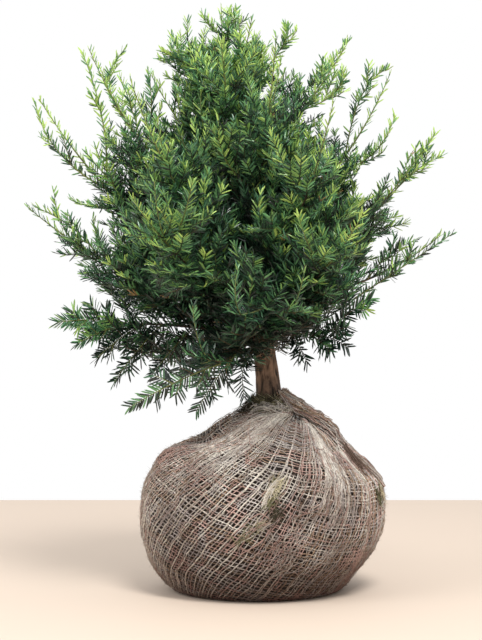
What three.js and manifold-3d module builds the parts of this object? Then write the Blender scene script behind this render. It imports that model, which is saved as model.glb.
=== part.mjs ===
// A young yew lifted for planting: a leaning trunk on a root ball wrapped in burlap, seven tiers of
// limbs round it, and a mass of needled shoots at the end of each limb.
// Millimetres, +Z up, -Y is the front. The origin is the middle of the root ball's flat underside.
import * as THREE from 'three';
import { mergeVertices } from 'three/addons/utils/BufferGeometryUtils.js';
import Module from 'manifold-3d';

const wasm = await Module();
wasm.setup();

// ---------------------------------------------------------------- driving dimensions
const GAP = 0.3; // clearance between pieces that touch on the real plant
const HEIGHT = 848; // underside to the tip of the leader

const BALL = {
  foot: 108, // radius of the flat underside
  girth: 174, // radius where the ball is widest
  girthHeight: 117,
  belly: 0.62, // how fast the ball swells from its foot to its girth
  depthShare: 0.96, // front to back against side to side
  top: 266, // height of the seat that the trunk stands on
  seat: 27, // radius of that seat
  neckShift: 18, // how far the seat lies to the right of the underside's middle
  crest: 2.8, // how long the shoulder stays full above the girth
  leftShoulder: 1.15, // the higher, the more the shoulder slopes
  rightShoulder: 1.5,
  foldDepth: 4.5, // height of the folds where the cloth is drawn up to the neck
  folds: 7,
  sides: 34,
  rings: 11,
};

const TRUNK = {
  footRadius: 18,
  tipRadius: 1.6,
  flare: 6, // extra radius at the root flare
  flareHeight: 14,
  buttress: 0.12, // how far three roots swell the flare
  lean: 70, // how far the tip leans to the left of the foot
  sway: 7, // front to back bow
  end: 792, // height where the wood ends in the leader's mass
  sides: 10,
  rings: 12,
};

const TIE = {
  ringRadius: 27, // collar of gathered cloth round the foot of the trunk
  ringThick: 9,
  rollBearing: -10, // the twisted corner of cloth runs down the right shoulder
  rollFoot: [26, -7, 24], // where it leaves the trunk, from the middle of the seat
  rollStart: 9, // radius of the roll at the trunk
  rollEnd: 4,
  rollDrop: 112, // how far below the seat it ends
  rollTwists: 4,
};

const NEEDLE = {
  length: 33,
  shortest: 0.5, // share of that length at the two ends of a shoot
  pitch: 22, // each tooth stands for the needles along this much of a shoot
  lean: 54, // degrees between a needle and its shoot
  rise: 0.12, // how far a tooth's point stands up, as a share of its length
};

const SHOOT = {
  stem: 3.6, // half width of a mass's stem at its foot
  root: 2.4, // half width of a side shoot at its foot
  blade: 6, // half width where the needles stand close together
  tip: 1.2,
  ridge: 2.6, // height of the section
  open: 54, // degrees between a side shoot and its stem
  first: 0.04, // share of the stem where the first side shoot leaves
  last: 0.72,
  goldenTurn: 137.5, // degrees round the stem from one side shoot to the next
  turnScatter: 0.5, // radians by which it strays from that
  lift: 0.42, // how much a shoot bends up towards the light
  shrink: 0.5, // how much shorter a side shoot at the stem's tip is than one at its foot
  hang: 0.75, // share of its length that a hanging side shoot reaches
  lengthScatter: 0.14,
  rollScatter: 0.8, // radians by which a shoot's flat side strays from level
};

// Tiers from the bottom up. rise is the height where the limbs leave the trunk. reach and top give the
// tip of a limb on the left and on the right side, and limbs between them take values in between. knee
// and sag bend the limb: at knee of the way out it passes sag below the straight line to its tip.
// bare is the share of the limb that is wood, spread the length of its longest side shoots.
const TIERS = [
  { name: 'skirt', count: 4, first: 160, rise: 346, left: [212, 262], right: [128, 345],
    knee: 0.5, sag: -50, bare: 0.24, spread: 112, side: 7 },
  { name: 'low', count: 4, first: 176, rise: 366, left: [300, 380], right: [155, 424],
    knee: 0.5, sag: -26, bare: 0.2, spread: 136, side: 8 },
  { name: 'wide', count: 6, first: 184, rise: 392, left: [338, 556], right: [275, 518],
    knee: 0.58, sag: 52, bare: 0.19, spread: 136, side: 8 },
  { name: 'main', count: 6, first: 178, rise: 436, left: [318, 718], right: [264, 656],
    knee: 0.62, sag: 92, bare: 0.19, spread: 136, side: 8 },
  { name: 'upper', count: 4, first: 187, rise: 496, left: [232, 785], right: [212, 756],
    knee: 0.66, sag: 88, bare: 0.17, spread: 128, side: 8 },
  { name: 'top', count: 4, first: 172, rise: 584, left: [128, 752], right: [166, 794],
    knee: 0.55, sag: 34, bare: 0, spread: 112, side: 7 },
  { name: 'spire', count: 3, first: 170, rise: 672, left: [88, 798], right: [116, 816],
    knee: 0.5, sag: 22, bare: 0, spread: 82, side: 6 },
];
const LEADER = { spread: 50, side: 4 };
// The dense body of the crown is a cone with a round foot. Beyond it the limbs stand out as slim spikes.
const BODY = {
  slope: 0.73, // radius gained for each millimetre below the leader's tip
  girth: 205,
  fade: 75, // over this distance outside the body side shoots shrink
  slim: 0.42, // to this share of their length
};
const BOUGH = {
  rootRadius: 6,
  tipRadius: 3.2,
  fullLength: 330, // a limb this long has these radii, a shorter one is thinner
  sides: 5,
  rings: 3,
  stagger: 15, // every other limb of a tier leaves the trunk this much higher
  climb: 4, // and each one this much higher than the last
  scatter: 16, // degrees by which a limb strays from an even spacing
  depthShare: 0.9, // reach front and back against reach to the sides
};
const SPACE = { margin: 2, offTrunk: 3, offBough: 6 }; // how far a shoot keeps from what isn't its own

// ---------------------------------------------------------------- small helpers
const rad = THREE.MathUtils.degToRad;
const mix = THREE.MathUtils.lerp;
const vec = (x, y, z) => new THREE.Vector3(x, y, z);
const UP = vec(0, 0, 1);

// A repeatable number from 0 to 1 for each whole number.
function chance(n) {
  const s = Math.sin(n * 12.9898 + 4.1414) * 43758.5453;
  return s - Math.floor(s);
}

// A factor that strays from 1 by up to a share.
const stray = (n, share) => 1 + share * (2 * chance(n) - 1);

function toSolid(geometry) {
  const bare = geometry.clone();
  bare.deleteAttribute('normal');
  bare.deleteAttribute('uv');
  const merged = mergeVertices(bare, 1e-3);
  return new wasm.Manifold(new wasm.Mesh({
    numProp: 3,
    vertProperties: merged.attributes.position.array,
    triVerts: new Uint32Array(merged.index.array),
  }));
}

function toGeometry(solid) {
  const mesh = solid.getMesh();
  const geometry = new THREE.BufferGeometry();
  const stride = mesh.numProp;
  const places = new Float32Array(mesh.numVert * 3);
  for (let i = 0; i < mesh.numVert; i++) {
    places.set(mesh.vertProperties.subarray(i * stride, i * stride + 3), i * 3);
  }
  geometry.setAttribute('position', new THREE.BufferAttribute(places, 3));
  geometry.setIndex(new THREE.BufferAttribute(mesh.triVerts, 1));
  geometry.computeVertexNormals();
  return geometry;
}

const largest = (solid) => solid.decompose().sort((a, b) => b.volume() - a.volume())[0];

// A closed skin over rings of points, each ring seen from its far end running counter-clockwise.
function skin(rings) {
  const sides = rings[0].length;
  const places = rings.flat().flatMap((p) => [p.x, p.y, p.z]);
  const faces = [];
  for (let i = 0; i + 1 < rings.length; i++) {
    for (let j = 0; j < sides; j++) {
      const a = i * sides + j;
      const b = i * sides + ((j + 1) % sides);
      faces.push(a, b, b + sides, a, b + sides, a + sides);
    }
  }
  const last = (rings.length - 1) * sides;
  for (let j = 1; j + 1 < sides; j++) {
    faces.push(0, j + 1, j, last, last + j, last + j + 1);
  }
  const geometry = new THREE.BufferGeometry();
  geometry.setAttribute('position', new THREE.Float32BufferAttribute(places, 3));
  geometry.setIndex(faces);
  return geometry;
}

// A frame at a point of a curve: along it, across it (level, or rolled) and out of its top.
function frameAt(curve, t, roll = 0) {
  const along = curve.getTangent(t);
  const across = new THREE.Vector3().crossVectors(along, UP);
  if (across.lengthSq() < 0.01) across.set(1, 0, 0);
  across.normalize().applyAxisAngle(along, roll);
  return { at: curve.getPoint(t), along, across, out: across.clone().cross(along) };
}

// A round tapering limb along a curve.
function limbGeometry(curve, radiusAt, sides, steps) {
  const rings = [];
  for (let i = 0; i <= steps; i++) {
    const f = frameAt(curve, i / steps);
    const r = radiusAt(i / steps);
    rings.push(Array.from({ length: sides }, (_, j) => {
      const a = (-2 * Math.PI * j) / sides;
      return f.at.clone().addScaledVector(f.across, r * Math.cos(a)).addScaledVector(f.out, r * Math.sin(a));
    }));
  }
  return skin(rings);
}

// ---------------------------------------------------------------- root ball
function ballRadius(height, bearing) {
  if (height < BALL.girthHeight) {
    const drop = 1 - height / BALL.girthHeight;
    return mix(BALL.foot, BALL.girth, Math.pow(1 - drop * drop, BALL.belly));
  }
  const climb = (height - BALL.girthHeight) / (BALL.top - BALL.girthHeight);
  const slope = mix(BALL.leftShoulder, BALL.rightShoulder, 0.5 + 0.5 * Math.cos(bearing));
  return mix(BALL.seat, BALL.girth, Math.pow(1 - Math.pow(climb, BALL.crest), slope));
}

// Folds run up to the neck, and broad dents keep the ball from being round.
function ballRelief(height, bearing) {
  const up = height / BALL.top;
  const fold = Math.sin(BALL.folds * bearing + 2.5 * up) * Math.sin(Math.PI * up) * up;
  const dent = Math.sin(2 * bearing + 0.8) * 0.6 + Math.sin(3 * bearing - 2 * up) * 0.5;
  return BALL.foldDepth * (fold + dent * Math.sin(Math.PI * up));
}

function ballPoint(height, bearing, grow = 0) {
  const r = ballRadius(height, bearing) + ballRelief(height, bearing) + grow;
  const middle = BALL.neckShift * (height / BALL.top);
  return vec(middle + r * Math.cos(bearing), r * BALL.depthShare * Math.sin(bearing), height);
}

function ballGeometry(grow = 0) {
  const rings = [];
  for (let i = 0; i <= BALL.rings; i++) {
    // Rings crowd together at the foot and at the seat, where the outline turns fastest.
    const height = (BALL.top / 2) * (1 - Math.cos((Math.PI * i) / BALL.rings));
    rings.push(Array.from({ length: BALL.sides }, (_, j) => {
      const p = ballPoint(height, (2 * Math.PI * j) / BALL.sides, grow);
      if (i === BALL.rings) p.z += grow;
      return p;
    }));
  }
  return skin(rings);
}

// ---------------------------------------------------------------- trunk
function trunkAt(height) {
  const up = Math.max(0, (height - BALL.top) / (HEIGHT - BALL.top));
  const lean = TRUNK.lean * Math.pow(Math.sin((up * Math.PI) / 2), 1.5);
  return vec(BALL.neckShift - lean, TRUNK.sway * Math.sin(2 * Math.PI * up), height);
}

function trunkRadius(height) {
  const up = (height - BALL.top) / (HEIGHT - BALL.top);
  const flare = TRUNK.flare * Math.exp(-(height - BALL.top) / TRUNK.flareHeight);
  return (TRUNK.footRadius - TRUNK.tipRadius) * Math.pow(1 - up, 1.05) + TRUNK.tipRadius + flare;
}

// The rings stay level, so that the foot is cut flat and square.
function trunkGeometry(grow = 0) {
  const rings = [];
  for (let i = 0; i <= TRUNK.rings; i++) {
    const height = mix(BALL.top + GAP, TRUNK.end, Math.pow(i / TRUNK.rings, 1.35));
    const middle = trunkAt(height);
    rings.push(Array.from({ length: TRUNK.sides }, (_, j) => {
      const a = (2 * Math.PI * j) / TRUNK.sides;
      const root = TRUNK.buttress * Math.cos(3 * a) * Math.exp(-(height - BALL.top) / TRUNK.flareHeight);
      const r = trunkRadius(height) * (1 + root) + grow;
      const level = i === TRUNK.rings ? height + grow : height;
      return vec(middle.x + r * Math.cos(a), middle.y + r * Math.sin(a), level);
    }));
  }
  return skin(rings);
}

// ---------------------------------------------------------------- cloth tied at the neck
// A collar of gathered cloth, and the corner of the cloth twisted into a roll down the right shoulder.
function tieSolid() {
  const seat = trunkAt(BALL.top);
  const lip = Array.from({ length: 7 }, (_, i) => {
    const a = (2 * Math.PI * (i % 6)) / 6;
    return new THREE.Vector2(TIE.ringRadius + TIE.ringThick * Math.cos(a), TIE.ringThick * 0.8 * Math.sin(a));
  });
  const ring = new THREE.LatheGeometry(lip, 12);
  ring.rotateX(Math.PI / 2);
  ring.translate(seat.x, seat.y, seat.z + 2);

  const twist = (t) => 1 + 0.12 * Math.sin(2 * Math.PI * TIE.rollTwists * t);
  const radiusAt = (t) => mix(TIE.rollStart, TIE.rollEnd, t) * twist(t);
  const stations = 7;
  const route = [seat.clone().add(vec(...TIE.rollFoot))];
  for (let i = 1; i <= stations; i++) {
    const t = i / stations;
    const height = BALL.top - 3 - TIE.rollDrop * Math.pow(t, 1.1);
    route.push(ballPoint(height, rad(TIE.rollBearing), 0.6 * radiusAt(t)).add(vec(0, 0, 0.6 * radiusAt(t))));
  }
  const roll = limbGeometry(new THREE.CatmullRomCurve3(route), radiusAt, 6, 11);
  return largest(toSolid(ring).add(toSolid(roll))
    .subtract(toSolid(ballGeometry(GAP)))
    .subtract(toSolid(trunkGeometry(GAP))));
}

// ---------------------------------------------------------------- limbs
// Each limb is one curve from the middle of the trunk to the tip of its longest shoot.
function limbCurve(tier, bearing, rise) {
  const leftness = 0.5 - 0.5 * Math.cos(bearing);
  const reach = mix(tier.right[0], tier.left[0], leftness);
  const top = mix(tier.right[1], tier.left[1], leftness);
  const root = trunkAt(rise);
  const away = vec(Math.cos(bearing), Math.sin(bearing) * BOUGH.depthShare, 0);
  const tip = root.clone().addScaledVector(away, reach).setZ(top);
  const knee = root.clone().lerp(tip, tier.knee);
  knee.z -= tier.sag;
  return new THREE.QuadraticBezierCurve3(root, knee, tip);
}

function partOf(curve, from, to) {
  const points = Array.from({ length: 13 }, (_, i) => curve.getPoint(mix(from, to, i / 12)));
  return new THREE.CatmullRomCurve3(points);
}

// A limb is a bare bough up to its share tier.bare, and from there the stem of a mass of shoots. High on
// the trunk there is no bare bough, and the stem comes straight out of the trunk.
function makeLimb(name, seed, curve, { bare = 0, spread, side }) {
  const gap = bare ? GAP / curve.getLength() : 0;
  const wood = bare ? partOf(curve, 0, bare) : null;
  return { name, seed, wood, stem: partOf(curve, bare + gap, 1), length: curve.getLength(), spread, side };
}

function allLimbs() {
  const limbs = TIERS.flatMap((tier, level) => Array.from({ length: tier.count }, (_, i) => {
    const seed = 100 * (level + 1) + 10 * i;
    const scatter = i ? BOUGH.scatter * (chance(seed) - 0.5) : 0;
    const bearing = rad(tier.first + (360 / tier.count) * i + scatter);
    const rise = tier.rise + BOUGH.stagger * (i % 2) + BOUGH.climb * i;
    return makeLimb(`${tier.name}_${i + 1}`, seed, limbCurve(tier, bearing, rise), tier);
  }));
  const foot = trunkAt(TRUNK.end + GAP);
  const tip = trunkAt(HEIGHT);
  const curve = new THREE.QuadraticBezierCurve3(foot, foot.clone().lerp(tip, 0.5), tip);
  return [...limbs, makeLimb('leader', 900, curve, LEADER)];
}

function boughSolid(limb, trunk) {
  const thick = Math.pow(limb.length / BOUGH.fullLength, 0.5);
  const radiusAt = (t) => mix(BOUGH.rootRadius, BOUGH.tipRadius, t) * thick;
  return largest(toSolid(limbGeometry(limb.wood, radiusAt, BOUGH.sides, BOUGH.rings)).subtract(trunk));
}

// ---------------------------------------------------------------- masses of needled shoots
// Whether a point lies in a mass's own space: nearer to its stem than to any other, off the wood and no
// higher than the leader's tip.
function ownSpace(limbs) {
  const spines = limbs.map((limb) => limb.stem.getPoints(14));
  const wood = limbs.filter((limb) => limb.wood).flatMap((limb) => limb.wood.getPoints(9));
  const nearest = (points, p) => Math.min(...points.map((q) => q.distanceTo(p)));
  return (limb, p) => {
    const middle = trunkAt(p.z);
    const fromTrunk = Math.hypot(p.x - middle.x, p.y - middle.y) - SPACE.offTrunk;
    if (p.z > BALL.top && p.z < TRUNK.end && fromTrunk < trunkRadius(p.z)) return false;
    if (p.z > HEIGHT || nearest(wood, p) < BOUGH.rootRadius + SPACE.offBough) return false;
    const own = nearest(spines[limbs.indexOf(limb)], p) + SPACE.margin;
    return spines.every((spine, i) => limbs[i] === limb || nearest(spine, p) > own);
  };
}

// One shoot: a low three-sided blade whose two upper faces stand out as pointed teeth of needles.
// Seen from its tip the section is a triangle: left foot, right foot, ridge.
function shootSolid(curve, { half, roll, bareSteps, fits }) {
  const steps = Math.max(3, Math.round(curve.getLength() / NEEDLE.pitch));
  const frames = Array.from({ length: steps + 1 }, (_, i) => frameAt(curve, i / steps, roll));
  const places = [];
  const faces = [];
  const put = (p) => places.push(p.x, p.y, p.z) / 3 - 1;
  const ring = (i) => {
    const width = i < bareSteps ? half : mix(Math.max(half, SHOOT.blade), SHOOT.tip, i / steps);
    const rise = mix(Math.max(half, SHOOT.ridge / 2), SHOOT.ridge / 2, Math.min(1, (2 * i) / steps));
    return [[-width, -0.6 * rise], [width, -0.6 * rise], [0, rise]].map(([x, y]) => put(
      frames[i].at.clone().addScaledVector(frames[i].across, -x).addScaledVector(frames[i].out, y),
    ));
  };
  const apexOf = (i, side) => {
    const fullness = Math.sin((Math.PI * (i + 1)) / (steps + 1));
    const size = NEEDLE.length * Math.min(1, mix(NEEDLE.shortest, 1.2, fullness));
    return frames[i].at.clone().lerp(frames[i + 1].at, 0.5)
      .addScaledVector(frames[i].across, side * size * Math.sin(rad(NEEDLE.lean)))
      .addScaledVector(frames[i].along, size * Math.cos(rad(NEEDLE.lean)))
      .addScaledVector(frames[i].out, size * NEEDLE.rise);
  };
  let before = ring(0);
  faces.push(before[0], before[2], before[1]);
  let reached = 0;
  for (let i = 0; i + 1 < steps && (i === 0 || fits(frames[i + 1].at)); i++) {
    const after = ring(i + 1);
    const [left, right, ridge] = before;
    const [left2, right2, ridge2] = after;
    faces.push(left, right, right2, left, right2, left2);
    const slopes = [[-1, right, ridge, ridge2, right2], [1, ridge, left, left2, ridge2]];
    for (const [side, a, b, b2, a2] of slopes) {
      const apex = apexOf(i, side);
      if (i >= bareSteps && fits(apex) && fits(frames[i].at.clone().lerp(apex, 0.6))) {
        const k = put(apex);
        faces.push(a, b, k, b, b2, k, b2, a2, k, a2, a, k);
      } else {
        faces.push(a, b, b2, a, b2, a2);
      }
    }
    before = after;
    reached = i + 1;
  }
  if (reached < 2) return null;
  const end = put(frames[reached].at.clone().addScaledVector(frames[reached].along, NEEDLE.pitch));
  before.forEach((corner, i) => faces.push(corner, before[(i + 1) % 3], end));
  const geometry = new THREE.BufferGeometry();
  geometry.setAttribute('position', new THREE.Float32BufferAttribute(places, 3));
  geometry.setIndex(faces);
  return toSolid(geometry);
}

// Where a side shoot goes: out of the stem at a turn round it, then bending up and forward.
function sideCurve(stem, at, turn, length) {
  const f = frameAt(stem, at);
  const out = f.across.clone().multiplyScalar(Math.cos(turn)).addScaledVector(f.out, Math.sin(turn));
  const way = f.along.clone().multiplyScalar(Math.cos(rad(SHOOT.open)))
    .addScaledVector(out, Math.sin(rad(SHOOT.open)));
  const knee = f.at.clone().addScaledVector(way, length * 0.5);
  const tip = knee.clone().addScaledVector(way, length * 0.38).addScaledVector(f.along, length * 0.12);
  tip.z += SHOOT.lift * length * 0.5;
  return new THREE.QuadraticBezierCurve3(f.at, knee, tip);
}

// 1 in the body of the crown, falling to BODY.slim outside it.
function fullness(p) {
  const middle = trunkAt(p.z);
  const radius = Math.min(BODY.girth, BODY.slope * (HEIGHT - p.z));
  const outside = (Math.hypot(p.x - middle.x, p.y - middle.y) - radius) / BODY.fade;
  return mix(1, BODY.slim, THREE.MathUtils.clamp(outside, 0, 1));
}

// Side shoots go round the stem by the golden angle, longest at its foot, shorter where they hang.
function sideShoot(limb, k, fits) {
  const at = mix(SHOOT.first, SHOOT.last, k / (limb.side - 1));
  const firstTurn = 0.5 + chance(limb.seed);
  const turn = firstTurn + rad(SHOOT.goldenTurn) * k + SHOOT.turnScatter * chance(limb.seed + k);
  const hang = Math.sin(turn) < -0.3 ? SHOOT.hang : 1;
  const fullLength = limb.spread * hang * (1 - SHOOT.shrink * at);
  const length = fullLength * fullness(limb.stem.getPoint(at)) * stray(limb.seed + k + 40, SHOOT.lengthScatter);
  const roll = SHOOT.rollScatter * (2 * chance(limb.seed + k + 60) - 1);
  return shootSolid(sideCurve(limb.stem, at, turn, length), { half: SHOOT.root, roll, bareSteps: 1, fits });
}

// The stems come first, then side shoots in turns, one for each mass. A shoot that would come within GAP
// of a bough or of another mass is skipped.
function growMasses(limbs, boughs, trunk) {
  const inOwnSpace = ownSpace(limbs);
  const spaces = limbs.map((limb) => (p) => inOwnSpace(limb, p));
  const masses = limbs.map((limb, i) => {
    const roll = SHOOT.rollScatter * (chance(limb.seed + 5) - 0.5);
    const bareSteps = limb.wood ? 1 : 2;
    return shootSolid(limb.stem, { half: SHOOT.stem, roll, bareSteps, fits: spaces[i] }).subtract(trunk);
  });
  for (let k = 0; k < Math.max(...limbs.map((limb) => limb.side)); k++) {
    limbs.forEach((limb, i) => {
      const shoot = k < limb.side && sideShoot(limb, k, spaces[i]);
      if (!shoot) return;
      const cut = shoot.subtract(trunk);
      const others = [...boughs, ...masses.filter((_, j) => j !== i)];
      if (others.every((other) => cut.minGap(other, GAP) >= GAP)) masses[i] = masses[i].add(cut);
    });
  }
  return masses.map(largest);
}

// ---------------------------------------------------------------- the plant
const BURLAP = new THREE.MeshStandardMaterial({ color: 0x8b7d70, roughness: 0.95, metalness: 0 });
const ROLLED = new THREE.MeshStandardMaterial({ color: 0x9c8a78, roughness: 0.95, metalness: 0 });
const BARK = new THREE.MeshStandardMaterial({ color: 0x54412f, roughness: 0.9, metalness: 0 });
const GREENS = [0x2f4a2a, 0x395a2e, 0x4b7436].map(
  (color) => new THREE.MeshStandardMaterial({ color, roughness: 0.6, metalness: 0 }),
);

function named(name, solid, material) {
  const mesh = new THREE.Mesh(toGeometry(solid), material);
  mesh.name = name;
  return mesh;
}

const plant = new THREE.Group();
plant.name = 'sapling';
plant.add(named('root_ball', toSolid(ballGeometry()), BURLAP));
plant.add(named('burlap_tie', tieSolid(), ROLLED));
plant.add(named('trunk', toSolid(trunkGeometry()), BARK));

const limbs = allLimbs();
const grownTrunk = toSolid(trunkGeometry(GAP));
const woody = limbs.filter((limb) => limb.wood);
const boughs = woody.map((limb) => boughSolid(limb, grownTrunk));
boughs.forEach((bough, i) => plant.add(named(`bough_${woody[i].name}`, bough, BARK)));
growMasses(limbs, boughs, grownTrunk).forEach((mass, i) => {
  plant.add(named(`needles_${limbs[i].name}`, mass, GREENS[i % GREENS.length]));
});

export default plant;
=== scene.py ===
"""A young yew standing on its burlap root ball, dressed for the studio.

The plant is grown in millimetres by the same rule as its solids, and turned into metres when a mesh
is made. Threads, twigs, needles and stray fibres are laid out as lines or points, and small Geometry
Nodes trees turn those into meshes.
"""

import math
from dataclasses import dataclass

import bpy
import numpy as np
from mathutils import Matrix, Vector


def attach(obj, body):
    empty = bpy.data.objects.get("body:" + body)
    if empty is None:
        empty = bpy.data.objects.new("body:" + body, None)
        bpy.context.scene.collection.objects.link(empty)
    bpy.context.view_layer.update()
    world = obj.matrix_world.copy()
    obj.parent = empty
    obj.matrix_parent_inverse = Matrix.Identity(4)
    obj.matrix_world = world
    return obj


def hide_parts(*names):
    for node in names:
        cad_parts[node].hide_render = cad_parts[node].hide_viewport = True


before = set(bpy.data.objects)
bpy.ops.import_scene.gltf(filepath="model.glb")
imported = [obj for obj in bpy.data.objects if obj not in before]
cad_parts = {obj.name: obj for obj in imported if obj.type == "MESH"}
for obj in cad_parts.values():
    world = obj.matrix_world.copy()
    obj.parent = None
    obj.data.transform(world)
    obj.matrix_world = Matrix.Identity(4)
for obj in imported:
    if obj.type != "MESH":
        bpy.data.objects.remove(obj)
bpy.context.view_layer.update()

MM = 0.001
UP = np.array([0.0, 0.0, 1.0])

# ------------------------------------------------------------------ the plant's sizes, in millimetres
HEIGHT = 848.0  # underside to the tip of the leader

BALL = dict(
    foot=108.0, girth=174.0, girth_height=117.0, belly=0.62, depth_share=0.96, top=266.0, seat=27.0,
    neck_shift=18.0, crest=2.8, left_shoulder=1.15, right_shoulder=1.5, fold_depth=4.5, folds=7,
)
TRUNK = dict(
    foot_radius=18.0, tip_radius=1.6, flare=6.0, flare_height=14.0, buttress=0.12, lean=70.0, sway=7.0,
    end=792.0,
)
SHOOT = dict(
    open=54.0, first=0.04, last=0.72, golden_turn=137.5, turn_scatter=0.5, lift=0.42, shrink=0.5,
    hang=0.75, length_scatter=0.14, roll_scatter=0.8,
)
BOUGH = dict(
    root_radius=6.0, tip_radius=3.2, full_length=330.0, stagger=15.0, climb=4.0, scatter=16.0,
    depth_share=0.9,
)
# Name, count, first bearing, height on the trunk, reach and top on the left, reach and top on the
# right, knee, sag, bare share, length of the longest side shoots, count of side shoots.
TIERS = [
    ("skirt", 4, 160, 346, (212, 262), (128, 345), 0.5, -50, 0.24, 112, 7),
    ("low", 4, 176, 366, (300, 380), (155, 424), 0.5, -26, 0.2, 136, 8),
    ("wide", 6, 184, 392, (338, 556), (275, 518), 0.58, 52, 0.19, 136, 8),
    ("main", 6, 178, 436, (318, 718), (264, 656), 0.62, 92, 0.19, 136, 8),
    ("upper", 4, 187, 496, (232, 785), (212, 756), 0.66, 88, 0.17, 128, 8),
    ("top", 4, 172, 584, (128, 752), (166, 794), 0.55, 34, 0.0, 112, 7),
    ("spire", 3, 170, 672, (88, 798), (116, 816), 0.5, 22, 0.0, 82, 6),
]
LEADER = dict(spread=50.0, side=4)
# The dense body of the crown is a cone with a round foot. Beyond it the limbs stand out as spikes, which
# are barer on the left than on the right.
BODY = dict(slope=0.66, girth=(228.0, 190.0), fade=(32.0, 32.0), slim=(0.12, 0.12))

NEEDLE = dict(
    length=19.0,  # on an old twig low in the crown
    short=0.76,  # share of that at the top of the crown
    width=2.0,
    thick=0.55,
    pitch=2.7,  # between the pairs
    sparse=1.4,  # how much further apart they stand on new shoots and on the fronds of the skirt
    lean=56.0,
    lean_scatter=6.0,
    closing=0.45,  # how much less they lean at a shoot's tip
    rise=0.12,
    stand=0.2,  # how far they turn up on an upright shoot
    sparse_heights=(345.0, 400.0),
    short_heights=(330.0, 700.0),
    upright=(0.6, 0.88),  # from two rows to all round, by how steeply a shoot climbs
    ruff=(0.34, 0.95),  # how far they scatter round a flat and an upright shoot, in radians
    ruff_turn=(0.2, 0.0),
    twist=(0.15, 0.5),  # how far their faces stray, in the skirt and above it
    size_scatter=0.09,
    stagger=0.25,  # between the two rows, in pitches
)
# The bare share at a shoot's foot.
BARE = dict(stem=0.03, leader=0.1, side=0.08, twig=0.05, new=0.04, frond=0.1, trunk_sprig=0.15)
TWIG = dict(
    pitch=8.4, open=50.0, longest=58.0, shortest=14.0, root=0.85, tip=0.5, first=0.1, last=0.74, lift=0.25,
    shrink=0.6, length_scatter=0.28, turn_scatter=0.6, roll_scatter=0.5, step=13.0,
)
STEM_TWIGS = dict(length=1.25, pitch=0.8)
RISER = dict(
    share=0.6,  # of the side shoots
    carrier=55.0,  # the shortest side shoot that carries one
    first=0.3, span=0.55, shortest=40.0, longest=88.0, needle=0.82, within=0.75, below_top=25.0,
)
SPIKE = dict(
    count=2, first=0.34, last=0.86, shortest=62.0, longest=128.0, steep=0.85, one_beyond=90.0, climb=0.3,
    slope=0.55, above_top=20.0,
)
FROND = dict(tier="skirt", pitch=1.25, length=1.2, needle=1.1, width=1.38)
SPRIG = dict(
    pitch=4.6, shortest=42.0, longest=108.0, low=350.0, high=780.0, slope=0.8, twigs=34.0, twig_pitch=16.0,
    bough_pitch=4.2, bough_first=0.16, bough_reach=(40, 88), bough_open=58.0, bough_lift=0.3, width=1.25,
    stem_share=0.4,
)
SEEDS = dict(arms=6100, fronds=6500, trunk_sprigs=7000, hanging_sprig=8801)
# New shoots that stand out of the crown: roughly where each leaves it, a place on its way, and its tip.
ARMS = [
    ((-210, -10, 604), (-223, -16, 677), (-253, -20, 780)),
    ((-209, 4, 641), (-216, 8, 736), (-194, 14, 790)),
    ((-169, -20, 641), (-178, -24, 688), (-197, -30, 743)),
    ((-155, -30, 644), (-152, -34, 696), (-156, -38, 748)),
    ((-96, -10, 730), (-110, -12, 774), (-124, -14, 804)),
    ((-104, 20, 755), (-120, 24, 772), (-142, 30, 782)),
    ((18, 0, 750), (36, -6, 790), (41, -10, 820)),
    ((82, 0, 704), (101, -4, 755), (131, -8, 797)),
    ((93, -20, 680), (112, -24, 720), (122, -30, 752)),
    ((112, 0, 650), (153, -6, 720), (190, -10, 756)),
    ((130, -20, 590), (164, -30, 629), (198, -40, 684)),
    ((178, -10, 565), (222, -16, 612), (258, -22, 661)),
    ((205, -10, 590), (236, -14, 612), (268, -18, 630)),
    ((140, -20, 437), (203, -26, 464), (281, -30, 516)),
    ((159, 10, 466), (196, 14, 490), (235, 18, 510)),
    ((60, 60, 700), (84, 80, 748), (104, 96, 786)),
    ((-60, 70, 700), (-78, 96, 744), (-88, 118, 780)),
    ((0, -60, 680), (-6, -80, 728), (-14, -96, 772)),
    ((-30, -90, 560), (-44, -128, 612), (-52, -150, 668)),
    ((52, -84, 540), (66, -124, 590), (70, -150, 642)),
    ((-110, -80, 520), (-132, -116, 566), (-140, -136, 622)),
    ((14, -80, 520), (22, -112, 566), (24, -128, 622)),
    ((40, -60, 580), (52, -84, 630), (54, -96, 684)),
    ((-4, -100, 470), (4, -134, 520), (6, -150, 566)),
    ((-232, -6, 572), (-288, -8, 636), (-322, -10, 708)),
    ((-215, -10, 500), (-268, -14, 526), (-322, -16, 556)),
    ((-205, 10, 474), (-252, 16, 488), (-292, 20, 520)),
    ((-170, -20, 560), (-216, -26, 596), (-246, -30, 632)),
]
ARM = dict(twigs=3, first=0.12, span=0.5, longest=40.0, open=38.0, lift=0.5, width=1.2)
# Fronds that hang out of the skirt, spread flat towards the front: start and tip.
FRONDS = [
    ((-200, -50, 404), (-284, -56, 388)),
    ((-188, -46, 384), (-255, -54, 358)),
    ((-170, -60, 372), (-226, -64, 338)),
    ((-146, -60, 350), (-202, -66, 304)),
    ((-116, -64, 332), (-180, -74, 268)),
    ((-96, -50, 350), (-150, -60, 312)),
    ((-38, -56, 334), (-86, -66, 262)),
    ((-60, -50, 350), (-106, -60, 316)),
    ((40, -36, 352), (72, -46, 330)),
    ((80, -44, 398), (130, -54, 352)),
    ((66, -40, 386), (104, -50, 346)),
    ((104, -44, 398), (163, -54, 422)),
]
FROND_TWIGS = dict(pitch=15.0, longest=34.0)
HANGING_SPRIG = [(-10, -14, 350), (-26, -30, 330), (-19, -40, 280)]
HANGING_TWIGS = dict(pitch=15.0, longest=26.0)
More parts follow.
